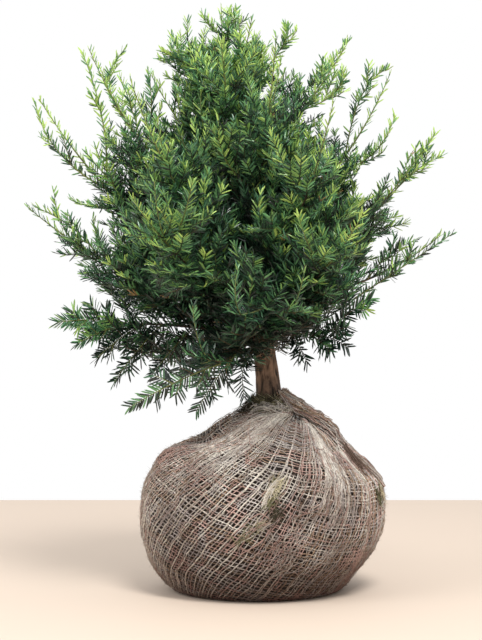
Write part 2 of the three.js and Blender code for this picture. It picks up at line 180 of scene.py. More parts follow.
# The crown's underside from left to right: x and height. Of the shoots, only fronds and the hanging sprig
# reach lower.
UNDERSIDE = [(-300, 392), (-235, 362), (-170, 338), (-110, 324), (-30, 320), (20, 336), (92, 380), (210, 480)]
# The camera stands in front of the trunk's plane.
CAMERA = dict(distance=2200.0, height=356.0, focal_px=1507.0, centre_px=(257.0, 345.0), frame_px=(482, 640))
# Gaps in the crown where the sky shows from the front: x, height and radius, in the trunk's plane.
GAPS = [
    (-260, 660, 23), (-188, 706, 13), (-178, 729, 13), (-171, 688, 9), (-137, 706, 13), (-139, 734, 11),
    (-247, 517, 10), (-206, 412, 6), (-143, 391, 8), (-123, 381, 8), (-228, 400, 8), (10, 723, 6),
    (111, 688, 13), (134, 726, 12), (162, 676, 14), (142, 644, 10), (206, 653, 16), (180, 623, 11),
    (159, 603, 9), (213, 574, 11), (188, 489, 12), (152, 457, 9), (88, 742, 10), (226, 610, 9),
]
GAP_EDGE = 5.0  # how far outside a gap its nearest shoots stay


# ------------------------------------------------------------------ numbers
def mix(a, b, share):
    return a + (b - a) * share


def unit(vectors):
    return vectors / np.linalg.norm(vectors, axis=-1, keepdims=True)


def chance(n):
    """A repeatable number from 0 to 1 for each whole number."""
    s = math.sin(n * 12.9898 + 4.1414) * 43758.5453
    return s - math.floor(s)


def stray(n, share):
    """A factor that strays from 1 by up to a share."""
    return 1 + share * (2 * chance(n) - 1)


def ramp(x, low, high):
    """0 below low, 1 above high, and a smooth rise between them."""
    t = np.clip((x - low) / (high - low), 0, 1)
    return t * t * (3 - 2 * t)


def lumps(places, size, seed=0):
    """Soft seeded relief from -1 to 1 whose bumps are about the given size."""
    p = np.asarray(places, float) / size
    cell = np.floor(p).astype(np.int64)
    f = p - cell
    f = f * f * (3 - 2 * f)
    total = np.zeros(len(p))
    for corner in np.ndindex(2, 2, 2):
        n = cell + np.array(corner)
        h = (n[:, 0] * 73856093) ^ (n[:, 1] * 19349663) ^ (n[:, 2] * 83492791) ^ (seed * 40503 + 977)
        h = ((h ^ (h >> 13)) * 1274126177) & 0xFFFFFFFF
        h = (h ^ (h >> 16)) & 0xFFFF
        weight = np.prod(np.where(np.array(corner) == 1, f, 1 - f), axis=1)
        total += weight * (h / 32767.5 - 1)
    return total


# ------------------------------------------------------------------ shapes shared with the solids
class Bend:
    """A stretch of a quadratic curve through a start, a knee and a tip."""

    def __init__(self, start, knee, tip, low=0.0, high=1.0):
        self.corners = [np.array(p, float) for p in (start, knee, tip)]
        self.low, self.high = low, high

    def stretch(self, low, high):
        return Bend(*self.corners, mix(self.low, self.high, low), mix(self.low, self.high, high))

    def at(self, shares):
        t = mix(self.low, self.high, np.atleast_1d(shares).astype(float))[:, None]
        a, b, c = self.corners
        return (1 - t) ** 2 * a + 2 * t * (1 - t) * b + t * t * c

    def along(self, shares):
        t = mix(self.low, self.high, np.atleast_1d(shares).astype(float))[:, None]
        a, b, c = self.corners
        return unit((1 - t) * (b - a) + t * (c - b))

    def length(self):
        return float(np.linalg.norm(np.diff(self.at(np.linspace(0, 1, 13)), axis=0), axis=1).sum())


def frames(bend, shares, roll=0.0):
    """Points of a curve with the directions along it, across it and out of its top."""
    at, along = bend.at(shares), bend.along(shares)
    across = np.cross(along, UP)
    across[np.sum(across**2, axis=1) < 0.01] = (1, 0, 0)
    across = unit(across)
    out = np.cross(across, along)
    across = across * math.cos(roll) - out * math.sin(roll)
    return at, along, across, np.cross(across, along)


def ball_radius(height, bearing):
    drop = np.clip(1 - height / BALL["girth_height"], 0, 1)
    below = mix(BALL["foot"], BALL["girth"], (1 - drop * drop) ** BALL["belly"])
    climb = np.clip((height - BALL["girth_height"]) / (BALL["top"] - BALL["girth_height"]), 0, 1)
    slope = mix(BALL["left_shoulder"], BALL["right_shoulder"], 0.5 + 0.5 * np.cos(bearing))
    above = mix(BALL["seat"], BALL["girth"], (1 - climb ** BALL["crest"]) ** slope)
    return np.where(height < BALL["girth_height"], below, above)


def ball_relief(height, bearing):
    up = height / BALL["top"]
    fold = np.sin(BALL["folds"] * bearing + 2.5 * up) * np.sin(math.pi * up) * up
    dent = np.sin(2 * bearing + 0.8) * 0.6 + np.sin(3 * bearing - 2 * up) * 0.5
    return BALL["fold_depth"] * (fold + dent * np.sin(math.pi * up))


def ball_point(height, bearing, grow=0.0):
    r = ball_radius(height, bearing) + ball_relief(height, bearing) + grow
    middle = BALL["neck_shift"] * (height / BALL["top"])
    return np.stack([middle + r * np.cos(bearing), r * BALL["depth_share"] * np.sin(bearing), height], -1)


def trunk_at(height):
    height = np.asarray(height, float)
    up = np.clip((height - BALL["top"]) / (HEIGHT - BALL["top"]), 0, 1)
    lean = TRUNK["lean"] * np.sin(up * math.pi / 2) ** 1.5
    return np.stack([BALL["neck_shift"] - lean, TRUNK["sway"] * np.sin(2 * math.pi * up), height], -1)


def trunk_radius(height):
    up = np.clip((height - BALL["top"]) / (HEIGHT - BALL["top"]), 0, 1)
    flare = TRUNK["flare"] * np.exp(-np.clip(height - BALL["top"], 0, None) / TRUNK["flare_height"])
    slim = (TRUNK["foot_radius"] - TRUNK["tip_radius"]) * (1 - up) ** 1.05
    return slim + TRUNK["tip_radius"] + flare


@dataclass
class Limb:
    name: str
    seed: int
    wood: Bend
    stem: Bend
    length: float
    spread: float
    side: int


def limb_bend(left, right, knee_share, sag, bearing, rise):
    leftness = 0.5 - 0.5 * math.cos(bearing)
    reach, top = (mix(right[i], left[i], leftness) for i in (0, 1))
    root = trunk_at(rise)
    tip = root + reach * np.array([math.cos(bearing), math.sin(bearing) * BOUGH["depth_share"], 0])
    tip[2] = top
    knee = mix(root, tip, knee_share)
    knee[2] -= sag
    return Bend(root, knee, tip)


def all_limbs():
    limbs = []
    for level, tier in enumerate(TIERS):
        name, count, first, rise, left, right, knee, sag, bare, spread, side = tier
        for i in range(count):
            seed = 100 * (level + 1) + 10 * i
            scatter = BOUGH["scatter"] * (chance(seed) - 0.5) if i else 0
            bearing = math.radians(first + 360 / count * i + scatter)
            height = rise + BOUGH["stagger"] * (i % 2) + BOUGH["climb"] * i
            bend = limb_bend(left, right, knee, sag, bearing, height)
            wood = bend.stretch(0, bare) if bare else None
            stem = bend.stretch(bare, 1)
            limbs.append(Limb(f"{name}_{i + 1}", seed, wood, stem, bend.length(), spread, side))
    foot, tip = trunk_at(TRUNK["end"]), trunk_at(HEIGHT)
    bend = Bend(foot, mix(foot, tip, 0.5), tip)
    limbs.append(Limb("leader", 900, None, bend, bend.length(), LEADER["spread"], LEADER["side"]))
    return limbs


# ------------------------------------------------------------------ shoots
NEW = 3  # the order of this year's upright shoots


@dataclass
class Shoot:
    bend: Bend
    roll: float
    seed: int
    order: int
    bare: float

    def __post_init__(self):
        self.length = self.bend.length()


def new_shoot(bend, seed):
    return Shoot(bend, 0.0, seed, NEW, BARE["new"])


def side_bend(stem, share, turn, length, roll=0.0, open_angle=SHOOT["open"], lift=SHOOT["lift"]):
    """Out of a stem at a turn round it, then bending up and forward."""
    at, along, across, out = (v[0] for v in frames(stem, share, roll))
    sideways = across * math.cos(turn) + out * math.sin(turn)
    way = along * math.cos(math.radians(open_angle)) + sideways * math.sin(math.radians(open_angle))
    knee = at + way * length * 0.5
    tip = knee + way * length * 0.38 + along * length * 0.12
    tip[2] += lift * length * 0.5
    return Bend(at, knee, tip)


def fullness(place):
    """1 in the body of the crown, falling to BODY["slim"] outside it."""
    middle = trunk_at(place[2])
    right = float(ramp(place[0] - middle[0], -60, 60))
    girth, fade, slim = (mix(*BODY[key], right) for key in ("girth", "fade", "slim"))
    radius = min(girth, BODY["slope"] * (HEIGHT - place[2]))
    outside = (math.hypot(*(place - middle)[:2]) - radius) / fade
    return mix(1, slim, min(max(outside, 0), 1))


def side_shoots(limb):
    first_turn = 0.5 + chance(limb.seed)
    for k in range(limb.side):
        share = mix(SHOOT["first"], SHOOT["last"], k / (limb.side - 1))
        scatter = SHOOT["turn_scatter"] * chance(limb.seed + k)
        turn = first_turn + math.radians(SHOOT["golden_turn"]) * k + scatter
        hang = SHOOT["hang"] if math.sin(turn) < -0.3 else 1
        full = limb.spread * hang * (1 - SHOOT["shrink"] * share) * fullness(limb.stem.at(share)[0])
        length = full * stray(limb.seed + k + 40, SHOOT["length_scatter"])
        roll = SHOOT["roll_scatter"] * (2 * chance(limb.seed + k + 60) - 1)
        bend = side_bend(limb.stem, share, turn, length)
        yield Shoot(bend, roll, limb.seed * 31 + k, 1, BARE["side"])


def room_at(place):
    """How far the finer twigs may spread: as the side shoots do, but low in the crown they all fill it."""
    return mix(1, fullness(place) ** 1.5, float(ramp(place[2], 400, 540)))


def twigs_of(shoot, longest, pitch, turned=False):
    """Finer twigs left and right of a shoot in its own plane, or turned round it, shorter towards its tip."""
    first, last = TWIG["first"], TWIG["last"]
    count = int(shoot.length * (last - first) / pitch)
    for j in range(count):
        seed = shoot.seed * 17 + j
        share = mix(first, last, (j + 0.3 + 0.4 * chance(seed)) / count)
        side = 0.0 if (j + shoot.seed) % 2 else math.pi
        turn = side + TWIG["turn_scatter"] * (chance(seed + 1) - 0.5)
        if turned:
            turn = math.radians(SHOOT["golden_turn"]) * j
        length = longest * (1 - TWIG["shrink"] * share) * stray(seed + 2, TWIG["length_scatter"])
        length = length * room_at(shoot.bend.at(share)[0])
        if length < TWIG["shortest"]:
            continue
        roll = shoot.roll + TWIG["roll_scatter"] * (chance(seed + 3) - 0.5)
        bend = side_bend(shoot.bend, share, turn, length, shoot.roll, TWIG["open"], TWIG["lift"])
        yield Shoot(bend, roll, seed, shoot.order + 1, BARE["twig"])


def riser_of(shoot):
    """A new shoot that stands up towards the light, on some of the shoots in the body of the crown."""
    seed = shoot.seed * 7 + 3
    if chance(seed) > RISER["share"] or shoot.length < RISER["carrier"]:
        return
    share = RISER["first"] + RISER["span"] * chance(seed + 1)
    at, along = shoot.bend.at(share)[0], shoot.bend.along(share)[0]
    length = mix(RISER["shortest"], RISER["longest"], chance(seed + 2))
    spill = np.array([chance(seed + 3) - 0.5, chance(seed + 4) - 0.5, 0.0])
    tip = at + unit(UP + 0.4 * along + 0.5 * spill) * length
    if fullness(tip) < RISER["within"] or tip[2] > HEIGHT - RISER["below_top"]:
        return
    yield new_shoot(Bend(at, at + unit(along + 0.9 * UP) * length * 0.4, tip), seed)


def spikes_of(limb):
    """Slim new shoots that stand up out of a stem and past the dense body of the crown."""
    if limb.stem.along(0.8)[0][2] < SPIKE["climb"]:
        return
    for i in range(SPIKE["count"]):
        seed = limb.seed * 23 + 400 + i
        share = mix(SPIKE["first"], SPIKE["last"], (i + chance(seed)) / SPIKE["count"])
        at, along = limb.stem.at(share)[0], limb.stem.along(share)[0]
        length = mix(SPIKE["longest"], SPIKE["shortest"], share) * stray(seed + 1, 0.2)
        spill = np.array([chance(seed + 2) - 0.5, chance(seed + 3) - 0.5, 0.0])
        tip = at + unit(along + SPIKE["steep"] * UP + 0.7 * spill) * length
        if i and tip[0] > SPIKE["one_beyond"]:
            continue
        middle = trunk_at(tip[2])
        if tip[2] + SPIKE["slope"] * math.hypot(*(tip - middle)[:2]) > HEIGHT + SPIKE["above_top"]:
            continue
        yield new_shoot(Bend(at, at + unit(along + 0.5 * spill) * length * 0.45, tip), seed)


def through(start, middle, tip):
    """The bend whose halfway point is the middle one."""
    start, middle, tip = (np.array(p, float) for p in (start, middle, tip))
    return Bend(start, 2 * middle - (start + tip) / 2, tip)


def nearest_spot(start, limbs, first, last):
    """The spot nearest to a start on any stem, between two shares of its length."""
    places = np.concatenate([limb.stem.at(np.linspace(first, last, 40)) for limb in limbs])
    return places[np.linalg.norm(places - start, axis=1).argmin()]


def arms_of(limbs):
    """The new shoots that stand out of the crown, and a few short twigs on each."""
    for i, (start, middle, tip) in enumerate(ARMS):
        bend = through(nearest_spot(start, limbs, 0.05, 0.98), middle, tip)
        arm = new_shoot(bend, SEEDS["arms"] + 7 * i)
        yield arm
        for k in range(ARM["twigs"]):
            share = ARM["first"] + ARM["span"] * (k + chance(arm.seed + k)) / ARM["twigs"]
            length = ARM["longest"] * (1 - 0.7 * share) * stray(arm.seed + 10 + k, 0.25)
            turn = 2.4 * k + 6 * chance(arm.seed + 20)
            twig = side_bend(bend, share, turn, length, 0.0, ARM["open"], ARM["lift"])
            yield new_shoot(twig, arm.seed * 3 + k)


def fronds_of(limbs):
    """The fronds that hang out of the skirt, each arched a little, and their flat twigs."""
    for i, (start, tip) in enumerate(FRONDS):
        seed = SEEDS["fronds"] + 11 * i
        root = nearest_spot(start, limbs, 0.0, 0.8)
        bend = through(root, mix(root, np.array(tip, float), 0.5) + (0, 0, 5), tip)
        frond = Shoot(bend, 1.25 + 0.4 * chance(seed), seed, 1, BARE["frond"])
        yield frond
        yield from twigs_of(frond, **FROND_TWIGS)


def above_underside(places):
    return places[:, 2] > np.interp(places[:, 0], *np.transpose(UNDERSIDE))


def in_a_gap(places):
    """Whether any of the places is seen in one of the gaps."""
    nearer = (CAMERA["distance"] / (CAMERA["distance"] + places[:, 1]))[:, None]
    seen = (0, CAMERA["height"]) + (places[:, ::2] - (0, CAMERA["height"])) * nearer
    middles, radii = np.array(GAPS, float)[:, :2], np.array(GAPS, float)[:, 2]
    away = np.linalg.norm(seen[:, None] - middles[None], axis=2)
    return bool((away < radii + GAP_EDGE).any())


def has_room(shoot):
    """Whether a shoot stays above the crown's underside, below the leader's tip and out of the gaps."""
    places = shoot.bend.at((0, 0.35, 0.7, 1))
    return bool(above_underside(places).all()) and places[-1, 2] < HEIGHT + 1 and not in_a_gap(places[1:])


def shown_stem(limb):
    """The stretch of a stem that lies above the crown's underside."""
    shares = np.linspace(0, 1, 31)
    shown = shares[above_underside(limb.stem.at(shares))]
    return limb.stem.stretch(0, max(shown.max(initial=0.0), 0.3))


def shoots_of(limb):
    """Every shoot of one mass: its stem, its side shoots, finer twigs on both, risers and spikes."""
    roll = SHOOT["roll_scatter"] * (chance(limb.seed + 5) - 0.5)
    stem = Shoot(shown_stem(limb), roll, limb.seed * 13, 0, BARE["stem" if limb.wood else "leader"])
    frond = limb.name.startswith(FROND["tier"])
    pitch = TWIG["pitch"] * (FROND["pitch"] if frond else 1)
    full = TWIG["longest"] * (FROND["length"] if frond else 1)
    twigs = twigs_of(stem, full * STEM_TWIGS["length"], pitch * STEM_TWIGS["pitch"], turned=not frond)
    shoots = [*twigs, *spikes_of(limb)]
    for shoot in filter(has_room, side_shoots(limb)):
        longest = full * min(1, shoot.length / 105)
        shoots += [shoot, *twigs_of(shoot, longest, pitch), *riser_of(shoot)]
    return [stem, *filter(has_room, shoots)]


def sprigs_round_trunk():
    """Short shady sprigs straight out of the trunk, which close the middle of the crown."""
    count = int((SPRIG["high"] - SPRIG["low"]) / SPRIG["pitch"])
    for i in range(count):
        seed = SEEDS["trunk_sprigs"] + 5 * i
        height = mix(SPRIG["low"], SPRIG["high"], (i + 0.5) / count)
        bearing = math.radians(SHOOT["golden_turn"]) * i + 0.6 * chance(seed)
        away = np.array([math.cos(bearing), math.sin(bearing), 0.0])
        foot = trunk_at(height) + away * trunk_radius(height) * 0.8
        length = mix(SPRIG["shortest"], SPRIG["longest"], chance(seed + 1))
        length = min(length, SPRIG["slope"] * (HEIGHT - height) + 12)
        knee = foot + unit(away + 0.35 * UP) * length * 0.5
        tip = knee + unit(away + mix(0.1, 1.5, chance(seed + 2)) * UP) * length * 0.5
        sprig = Shoot(Bend(foot, knee, tip), chance(seed + 3) - 0.5, seed, 1, BARE["trunk_sprig"])
        if has_room(sprig):
            yield sprig
            yield from filter(has_room, twigs_of(sprig, SPRIG["twigs"], SPRIG["twig_pitch"]))


def sprigs_on_bough(limb):
    """Shady sprigs round a bough and round the start of its stem."""
    bough, stem = limb.wood.stretch(SPRIG["bough_first"], 1), limb.stem.stretch(0, SPRIG["stem_share"])
    for wood, more in ((bough, 0), (stem, 500)):
        count = int(wood.length() / SPRIG["bough_pitch"])
        for i in range(count):
            seed = limb.seed * 19 + 900 + more + i
            turn = math.radians(SHOOT["golden_turn"]) * i + chance(limb.seed + 77) * 6
            reach = mix(*SPRIG["bough_reach"], chance(seed)) * (SHOOT["hang"] if math.sin(turn) < -0.3 else 1)
            share = 0.98 * (i + 0.5) / count
            bend = side_bend(wood, share, turn, reach, 0.0, SPRIG["bough_open"], SPRIG["bough_lift"])
            sprig = Shoot(bend, chance(seed + 1) - 0.5, seed, 2, BARE["frond"])
            if has_room(sprig):
                yield sprig


def hanging_sprig():
    """The small drooping sprig just left of the bare foot of the trunk."""
    sprig = Shoot(Bend(*HANGING_SPRIG), 0.3, SEEDS["hanging_sprig"], 1, BARE["frond"])
    return [sprig, *twigs_of(sprig, **HANGING_TWIGS)]


CROWN_MIDDLE = np.array([-26.0, 0.0, 560.0])
CROWN_REACH = np.array([300.0, 250.0, 290.0])


def openness(point):
    """0 in the middle of the crown, about 1 on its outside."""
    return float(np.linalg.norm((point - CROWN_MIDDLE) / CROWN_REACH))


TONES = ["shade", "deep", "mid", "full", "fresh", "tip", "rust"]
FRESH, TIP, RUST = 4, 5, 6
# How light the needles are dealt, in steps of tone: by how far out and how high a shoot's tip is, by chance,
# and darker below the first height of each pair, most in front of the trunk. The darkening inside, low down
# and in front of the trunk is painted shade, and the lightening outside and high up is painted light, on top
# of the real darker old needles inside and fresh growth outside.
LIGHT = dict(
    inside=-0.78, outwards=3.6, middle=520.0, upwards=1.1, span=300.0, luck=2.3, low=(310, 450),
    low_shade=0.75, trunk=(400, 540), trunk_width=130,
)
# New shoots are dealt lighter tones the higher their tips stand: painted light from above.
NEW_LIGHT = dict(middle=480.0, plain=2.35, upwards=1.2, span=250.0, luck=1.9)
# Where the needles turn a step lighter towards a tip. All but the last are shares of a shoot's length.
FRESHER = dict(first=(0.55, 0.85), stem=0.62, bright=0.7, rust=0.9, above=380.0)
BRIGHT_TIPS = dict(rare=0.84, above=430.0)
RUSTY_TIPS = 0.985  # this rare


def tone_of(shoot):
    """The tone a shoot's needles are dealt: darker inside and below, lighter outside and above, partly older
    and fresher needles and partly painted shade and painted light.
    """
    tip = shoot.bend.at(1)[0]
    luck = chance(shoot.seed + 9) - 0.5
    if shoot.order == NEW:
        light = NEW_LIGHT["plain"] + NEW_LIGHT["upwards"] * (tip[2] - NEW_LIGHT["middle"]) / NEW_LIGHT["span"]
        return int(np.clip(round(light + NEW_LIGHT["luck"] * luck), 1, FRESH))
    light = LIGHT["outwards"] * openness(tip) + LIGHT["inside"]
    light += LIGHT["upwards"] * (tip[2] - LIGHT["middle"]) / LIGHT["span"] + LIGHT["luck"] * luck
    # Painted shade: darker low in the crown, and most in front of the trunk's foot.
    light -= LIGHT["low_shade"] * (1 - float(ramp(tip[2], *LIGHT["low"])))
    light -= (1 - float(ramp(tip[2], *LIGHT["trunk"]))) * float(hump(tip[0], 0, LIGHT["trunk_width"]))
    return int(np.clip(round(light), 0, FRESH))


def tones_along(shoot, order, rng):
    """The tone of each needle along a shoot, fresher towards its tip."""
    tone = np.full(len(order), tone_of(shoot))
    height = shoot.bend.at(1)[0][2]
    if height >= FRESHER["above"]:
        tone[(order > rng.uniform(*FRESHER["first"])) & (tone < TIP)] += 1
        if chance(shoot.seed + 13) > BRIGHT_TIPS["rare"] and height > BRIGHT_TIPS["above"]:
            bright = order > FRESHER["bright"]
            tone[bright] = np.minimum(tone[bright] + 2, TIP)
    if shoot.order == 0:
        tone[(order > FRESHER["stem"]) & (tone < TIP)] += 1
    if chance(shoot.seed + 11) > RUSTY_TIPS:
        tone[order > FRESHER["rust"]] = RUST
    return tone


def needles_on(shoot, rng):
    """Where the needles of one shoot sit, which way they point, how long they are and their tone."""
    new = shoot.order == NEW
    low = float(ramp(shoot.bend.at(0.5)[0][2], *NEEDLE["sparse_heights"]))
    pitch = NEEDLE["pitch"] * (NEEDLE["sparse"] if new else mix(NEEDLE["sparse"], 1, low))
    count = max(4, int(shoot.length * (1 - shoot.bare) / pitch))
    order = (np.arange(count) + 0.5) / count
    at, along, across, out = frames(shoot.bend, mix(shoot.bare, 1.0, order), shoot.roll)
    upright = np.ones(count) if new else ramp(along[:, 2], *NEEDLE["upright"])
    grown = RISER["needle"]
    if not new:
        grown = mix(FROND["needle"], NEEDLE["short"], ramp(at[:, 2], *NEEDLE["short_heights"]))
    tone = tones_along(shoot, order, rng)
    skirt = shoot.bend.at(1)[0][2] < FRESHER["above"]
    keep = np.ones(count, bool)
    if shoot.order == 0:
        keep = (order <= 0.5) | (np.arange(count) % 2 == 0)
    rows = []
    for side in (-1, 1):
        ruff = rng.normal(0, 1, count) * mix(*NEEDLE["ruff"], upright) + mix(*NEEDLE["ruff_turn"], upright)
        sideways = across * (side * np.cos(ruff))[:, None] + out * np.sin(ruff)[:, None]
        closing = 1 - NEEDLE["closing"] * order**3
        lean = np.radians(NEEDLE["lean"] * closing + rng.normal(0, NEEDLE["lean_scatter"], count))
        way = along * np.cos(lean)[:, None] + sideways * np.sin(lean)[:, None]
        way = way + out * NEEDLE["rise"] + UP * (NEEDLE["stand"] * upright)[:, None]
        flat = out * np.cos(ruff)[:, None] - across * (side * np.sin(ruff))[:, None]
        flat = flat + rng.normal(0, NEEDLE["twist"][0 if skirt else 1], (count, 3))
        size = mix(0.6, 1.0, np.sin(math.pi * (0.12 + 0.76 * order)))
        size = size * rng.normal(1, NEEDLE["size_scatter"], count) * grown
        places = at + along * (side * NEEDLE["stagger"] * pitch)
        toned = np.clip(tone + rng.choice((-2, -2, -1, 0, 0, 1, 1), count), 0, TIP)
        toned = np.where(tone == RUST, RUST, toned)
        rows.append([part[keep] for part in (places, unit(way), flat, size, toned)])
    return [np.concatenate(parts) for parts in zip(*rows)]


def off_the_trunk(places):
    middle = trunk_at(places[:, 2])
    away = np.linalg.norm(places[:, :2] - middle[:, :2], axis=1)
    return (places[:, 2] > TRUNK["end"]) | (away > trunk_radius(places[:, 2]) + 0.5)


# ------------------------------------------------------------------ meshes
def set_values(mesh, name, values):
    values = np.asarray(values)
    kind, key = ("FLOAT_VECTOR", "vector") if values.ndim == 2 else ("FLOAT", "value")
    if values.dtype.kind == "i":
        kind = "INT"
    mesh.attributes.new(name, kind, "POINT").data.foreach_set(key, values.ravel())


def point_mesh(name, places, **values):
    mesh = bpy.data.meshes.new(name)
    mesh.vertices.add(len(places))
    mesh.vertices.foreach_set("co", (np.asarray(places) * MM).astype(np.float32).ravel())
    for key, value in values.items():
        set_values(mesh, key, value)
    return mesh


def line_mesh(name, lines, **values):
    """A mesh of edges along each line, with one value for every point of every line."""
    mesh = point_mesh(name, np.concatenate(lines), **{k: np.concatenate(v) for k, v in values.items()})
    ends = np.cumsum([len(line) for line in lines])
    inner = np.setdiff1d(np.arange(ends[-1] - 1), ends - 1)
    mesh.edges.add(len(inner))
    mesh.edges.foreach_set("vertices", np.stack([inner, inner + 1], 1).astype(np.int32).ravel())
    return mesh


def face_mesh(name, places, faces):
    mesh = bpy.data.meshes.new(name)
    mesh.from_pydata(places, [], faces)
    mesh.update()
    return mesh


def grid_mesh(name, rows, capped=False):
    """A skin over rows of points, each row running once round."""
    high, wide = rows.shape[:2]
    index = np.arange(high * wide).reshape(high, wide)
    right = np.roll(index, -1, axis=1)
    faces = np.stack([index[:-1], right[:-1], right[1:], index[1:]], -1).reshape(-1, 4).tolist()
    if capped:
        faces += [index[0, ::-1].tolist(), index[-1].tolist()]
    mesh = face_mesh(name, (rows.reshape(-1, 3) * MM).tolist(), faces)
    mesh.polygons.foreach_set("use_smooth", [True] * len(mesh.polygons))
    return mesh


def put(name, mesh, materials=()):
    piece = bpy.data.objects.new(name, mesh)
    bpy.context.scene.collection.objects.link(piece)
    for material in materials:
        mesh.materials.append(material)
    return piece


def join_meshes(name, meshes):
    parts = [put(f"{name}_{i}", mesh) for i, mesh in enumerate(meshes)]
    with bpy.context.temp_override(active_object=parts[0], selected_editable_objects=parts):
        bpy.ops.object.join()
    parts[0].name = name
    return parts[0]


def finish_piece(piece, slot, *nodes):
    if nodes:
        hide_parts(*nodes)
    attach(piece, "root")


# ------------------------------------------------------------------ geometry node trees
class Nodes:
    """A node tree in the making. A node's input is fed by its name, or by its number after a _."""

    def __init__(self, tree):
        self.tree = tree

    def feed(self, socket, value):
        if isinstance(value, bpy.types.NodeSocket):
            self.tree.links.new(value, socket)
        else:
            socket.default_value = value

    def node(self, kind, settings=None, **inputs):
        node = self.tree.nodes.new(kind)
        for key, value in (settings or {}).items():
            setattr(node, key, value)
        for key, value in inputs.items():
            self.feed(node.inputs[int(key[1:]) if key[0] == "_" else key.replace("_", " ")], value)
        return node


class Growth(Nodes):
    """A geometry node tree in the making, with a named input for each of its sizes."""

    def __init__(self, name):
        super().__init__(bpy.data.node_groups.new(name, "GeometryNodeTree"))
        for end in ("INPUT", "OUTPUT"):
            self.tree.interface.new_socket("Geometry", in_out=end, socket_type="NodeSocketGeometry")
        self.start = self.node("NodeGroupInput").outputs
        self.end = self.node("NodeGroupOutput").inputs

    def size(self, name, value, kind="Float"):
        socket = self.tree.interface.new_socket(name, in_out="INPUT", socket_type=f"NodeSocket{kind}")
        if value is not None:
            socket.default_value = value
        return self.start[name]

    def value(self, name, kind="FLOAT"):
        return self.node("GeometryNodeInputNamedAttribute", {"data_type": kind}, Name=name).outputs[0]

    def jitter(self, seed):
        """A random vector for each point."""
        kind = {"data_type": "FLOAT_VECTOR"}
        return self.node("FunctionNodeRandomValue", kind, _0=(-1, -1, -1), _1=(1, 1, 1), Seed=seed).outputs[0]

    def times(self, first, second):
        return self.node("ShaderNodeMath", {"operation": "MULTIPLY"}, _0=first, _1=second).outputs[0]

    def lean(self, way, other, share):
        """A way that leans towards a share of another one."""
        part = self.node("ShaderNodeVectorMath", {"operation": "SCALE"}, _0=other, Scale=share).outputs[0]
        return self.node("ShaderNodeVectorMath", {"operation": "ADD"}, _0=way, _1=part).outputs[0]

    def blades(self, points, blade, way, face, scale):
        """One blade on every point, its length along a way and turned to a face."""
        shape = self.node("GeometryNodeObjectInfo", Object=blade).outputs["Geometry"]
        turn = self.node("FunctionNodeAxesToRotation", {"primary_axis": "Y", "secondary_axis": "Z"},
                         Primary_Axis=way, Secondary_Axis=face).outputs[0]
        width, length, thick = scale
        size = self.node("ShaderNodeCombineXYZ", X=width, Y=length, Z=thick).outputs[0]
        return self.node("GeometryNodeInstanceOnPoints", Points=points, Instance=shape, Rotation=turn,
                         Scale=size).outputs[0]

    def close(self, shape, materials):
        """Realizes the instances, gives each tone its material and ends the tree."""
        shape = self.node("GeometryNodeRealizeInstances", Geometry=shape).outputs[0]
        for i, material in enumerate(materials):
            node = self.node("GeometryNodeSetMaterial", Geometry=shape, Material=material)
            if i:
                settings = {"data_type": "INT", "operation": "EQUAL"}
                same = self.node("FunctionNodeCompare", settings, _2=self.value("tone", "INT"), _3=i)
                self.feed(node.inputs["Selection"], same.outputs[0])
            shape = node.outputs[0]
        self.feed(self.end[0], shape)
        return self.tree


def tube_tree(name, materials):
    """Round tubes along lines, as thick as each point's own radius."""
    tree = Growth(name)
    sides = tree.size("Sides", 4, "Int")
    curve = tree.node("GeometryNodeMeshToCurve", Mesh=tree.start["Geometry"]).outputs[0]
    ring = tree.node("GeometryNodeCurvePrimitiveCircle", Resolution=sides, Radius=MM).outputs[0]
    tube = tree.node("GeometryNodeCurveToMesh", Curve=curve, Profile_Curve=ring, Scale=tree.value("thick"),
                     Fill_Caps=True).outputs[0]
    return tree.close(tree.node("GeometryNodeSetShadeSmooth", Geometry=tube).outputs[0], materials)


def blade_tree(name, materials):
    """One blade on every point, along the point's own direction and as long as its size."""
    tree = Growth(name)
    blade = tree.size("Blade", None, "Object")
    length, width, thick = (tree.size(key, MM) for key in ("Length", "Width", "Thickness"))
    stray_share, seed = tree.size("Stray", 0.05), tree.size("Seed", 7, "Int")
    way = tree.lean(tree.value("way", "FLOAT_VECTOR"), tree.jitter(seed), stray_share)
    scale = width, tree.times(length, tree.value("size")), thick
    copies = tree.blades(tree.start["Geometry"], blade, way, tree.value("flat", "FLOAT_VECTOR"), scale)
    return tree.close(copies, materials)


def fibre_tree(name, materials):
    """Short stray fibres all over a surface, leaning every way."""
    tree = Growth(name)
    blade = tree.size("Blade", None, "Object")
    density, length, width = (tree.size(key, MM) for key in ("Density", "Length", "Width"))
    seed, outwards = tree.size("Seed", 3, "Int"), tree.size("Outwards", 0.45)
    shortest, longest = tree.size("Shortest", 0.4), tree.size("Longest", 1.3)
    spots = tree.node("GeometryNodeDistributePointsOnFaces", Mesh=tree.start["Geometry"], Density=density,
                      Seed=seed).outputs
    way = tree.lean(tree.jitter(seed), spots["Normal"], outwards)
    grown = tree.node("FunctionNodeRandomValue", {"data_type": "FLOAT"}, _2=shortest, _3=longest, Seed=seed)
    scale = width, tree.times(length, grown.outputs[1]), width
    return tree.close(tree.blades(spots["Points"], blade, way, spots["Normal"], scale), materials)


def grow(name, mesh, tree, **inputs):
    """Runs a tree on a mesh and returns the result as a plain piece."""
    carrier = put(name + "_lines", mesh)
    modifier = carrier.modifiers.new("grow", "NODES")
    modifier.node_group = tree
    for item in tree.interface.items_tree:
        if item.item_type == "SOCKET" and item.in_out == "INPUT" and item.name in inputs:
            modifier[item.identifier] = inputs[item.name]
    depsgraph = bpy.context.evaluated_depsgraph_get()
    plain = bpy.data.meshes.new_from_object(carrier.evaluated_get(depsgraph), depsgraph=depsgraph)
    carrier.modifiers.clear()
    bpy.data.objects.remove(carrier)
    plain.name = name
    return put(name, plain)


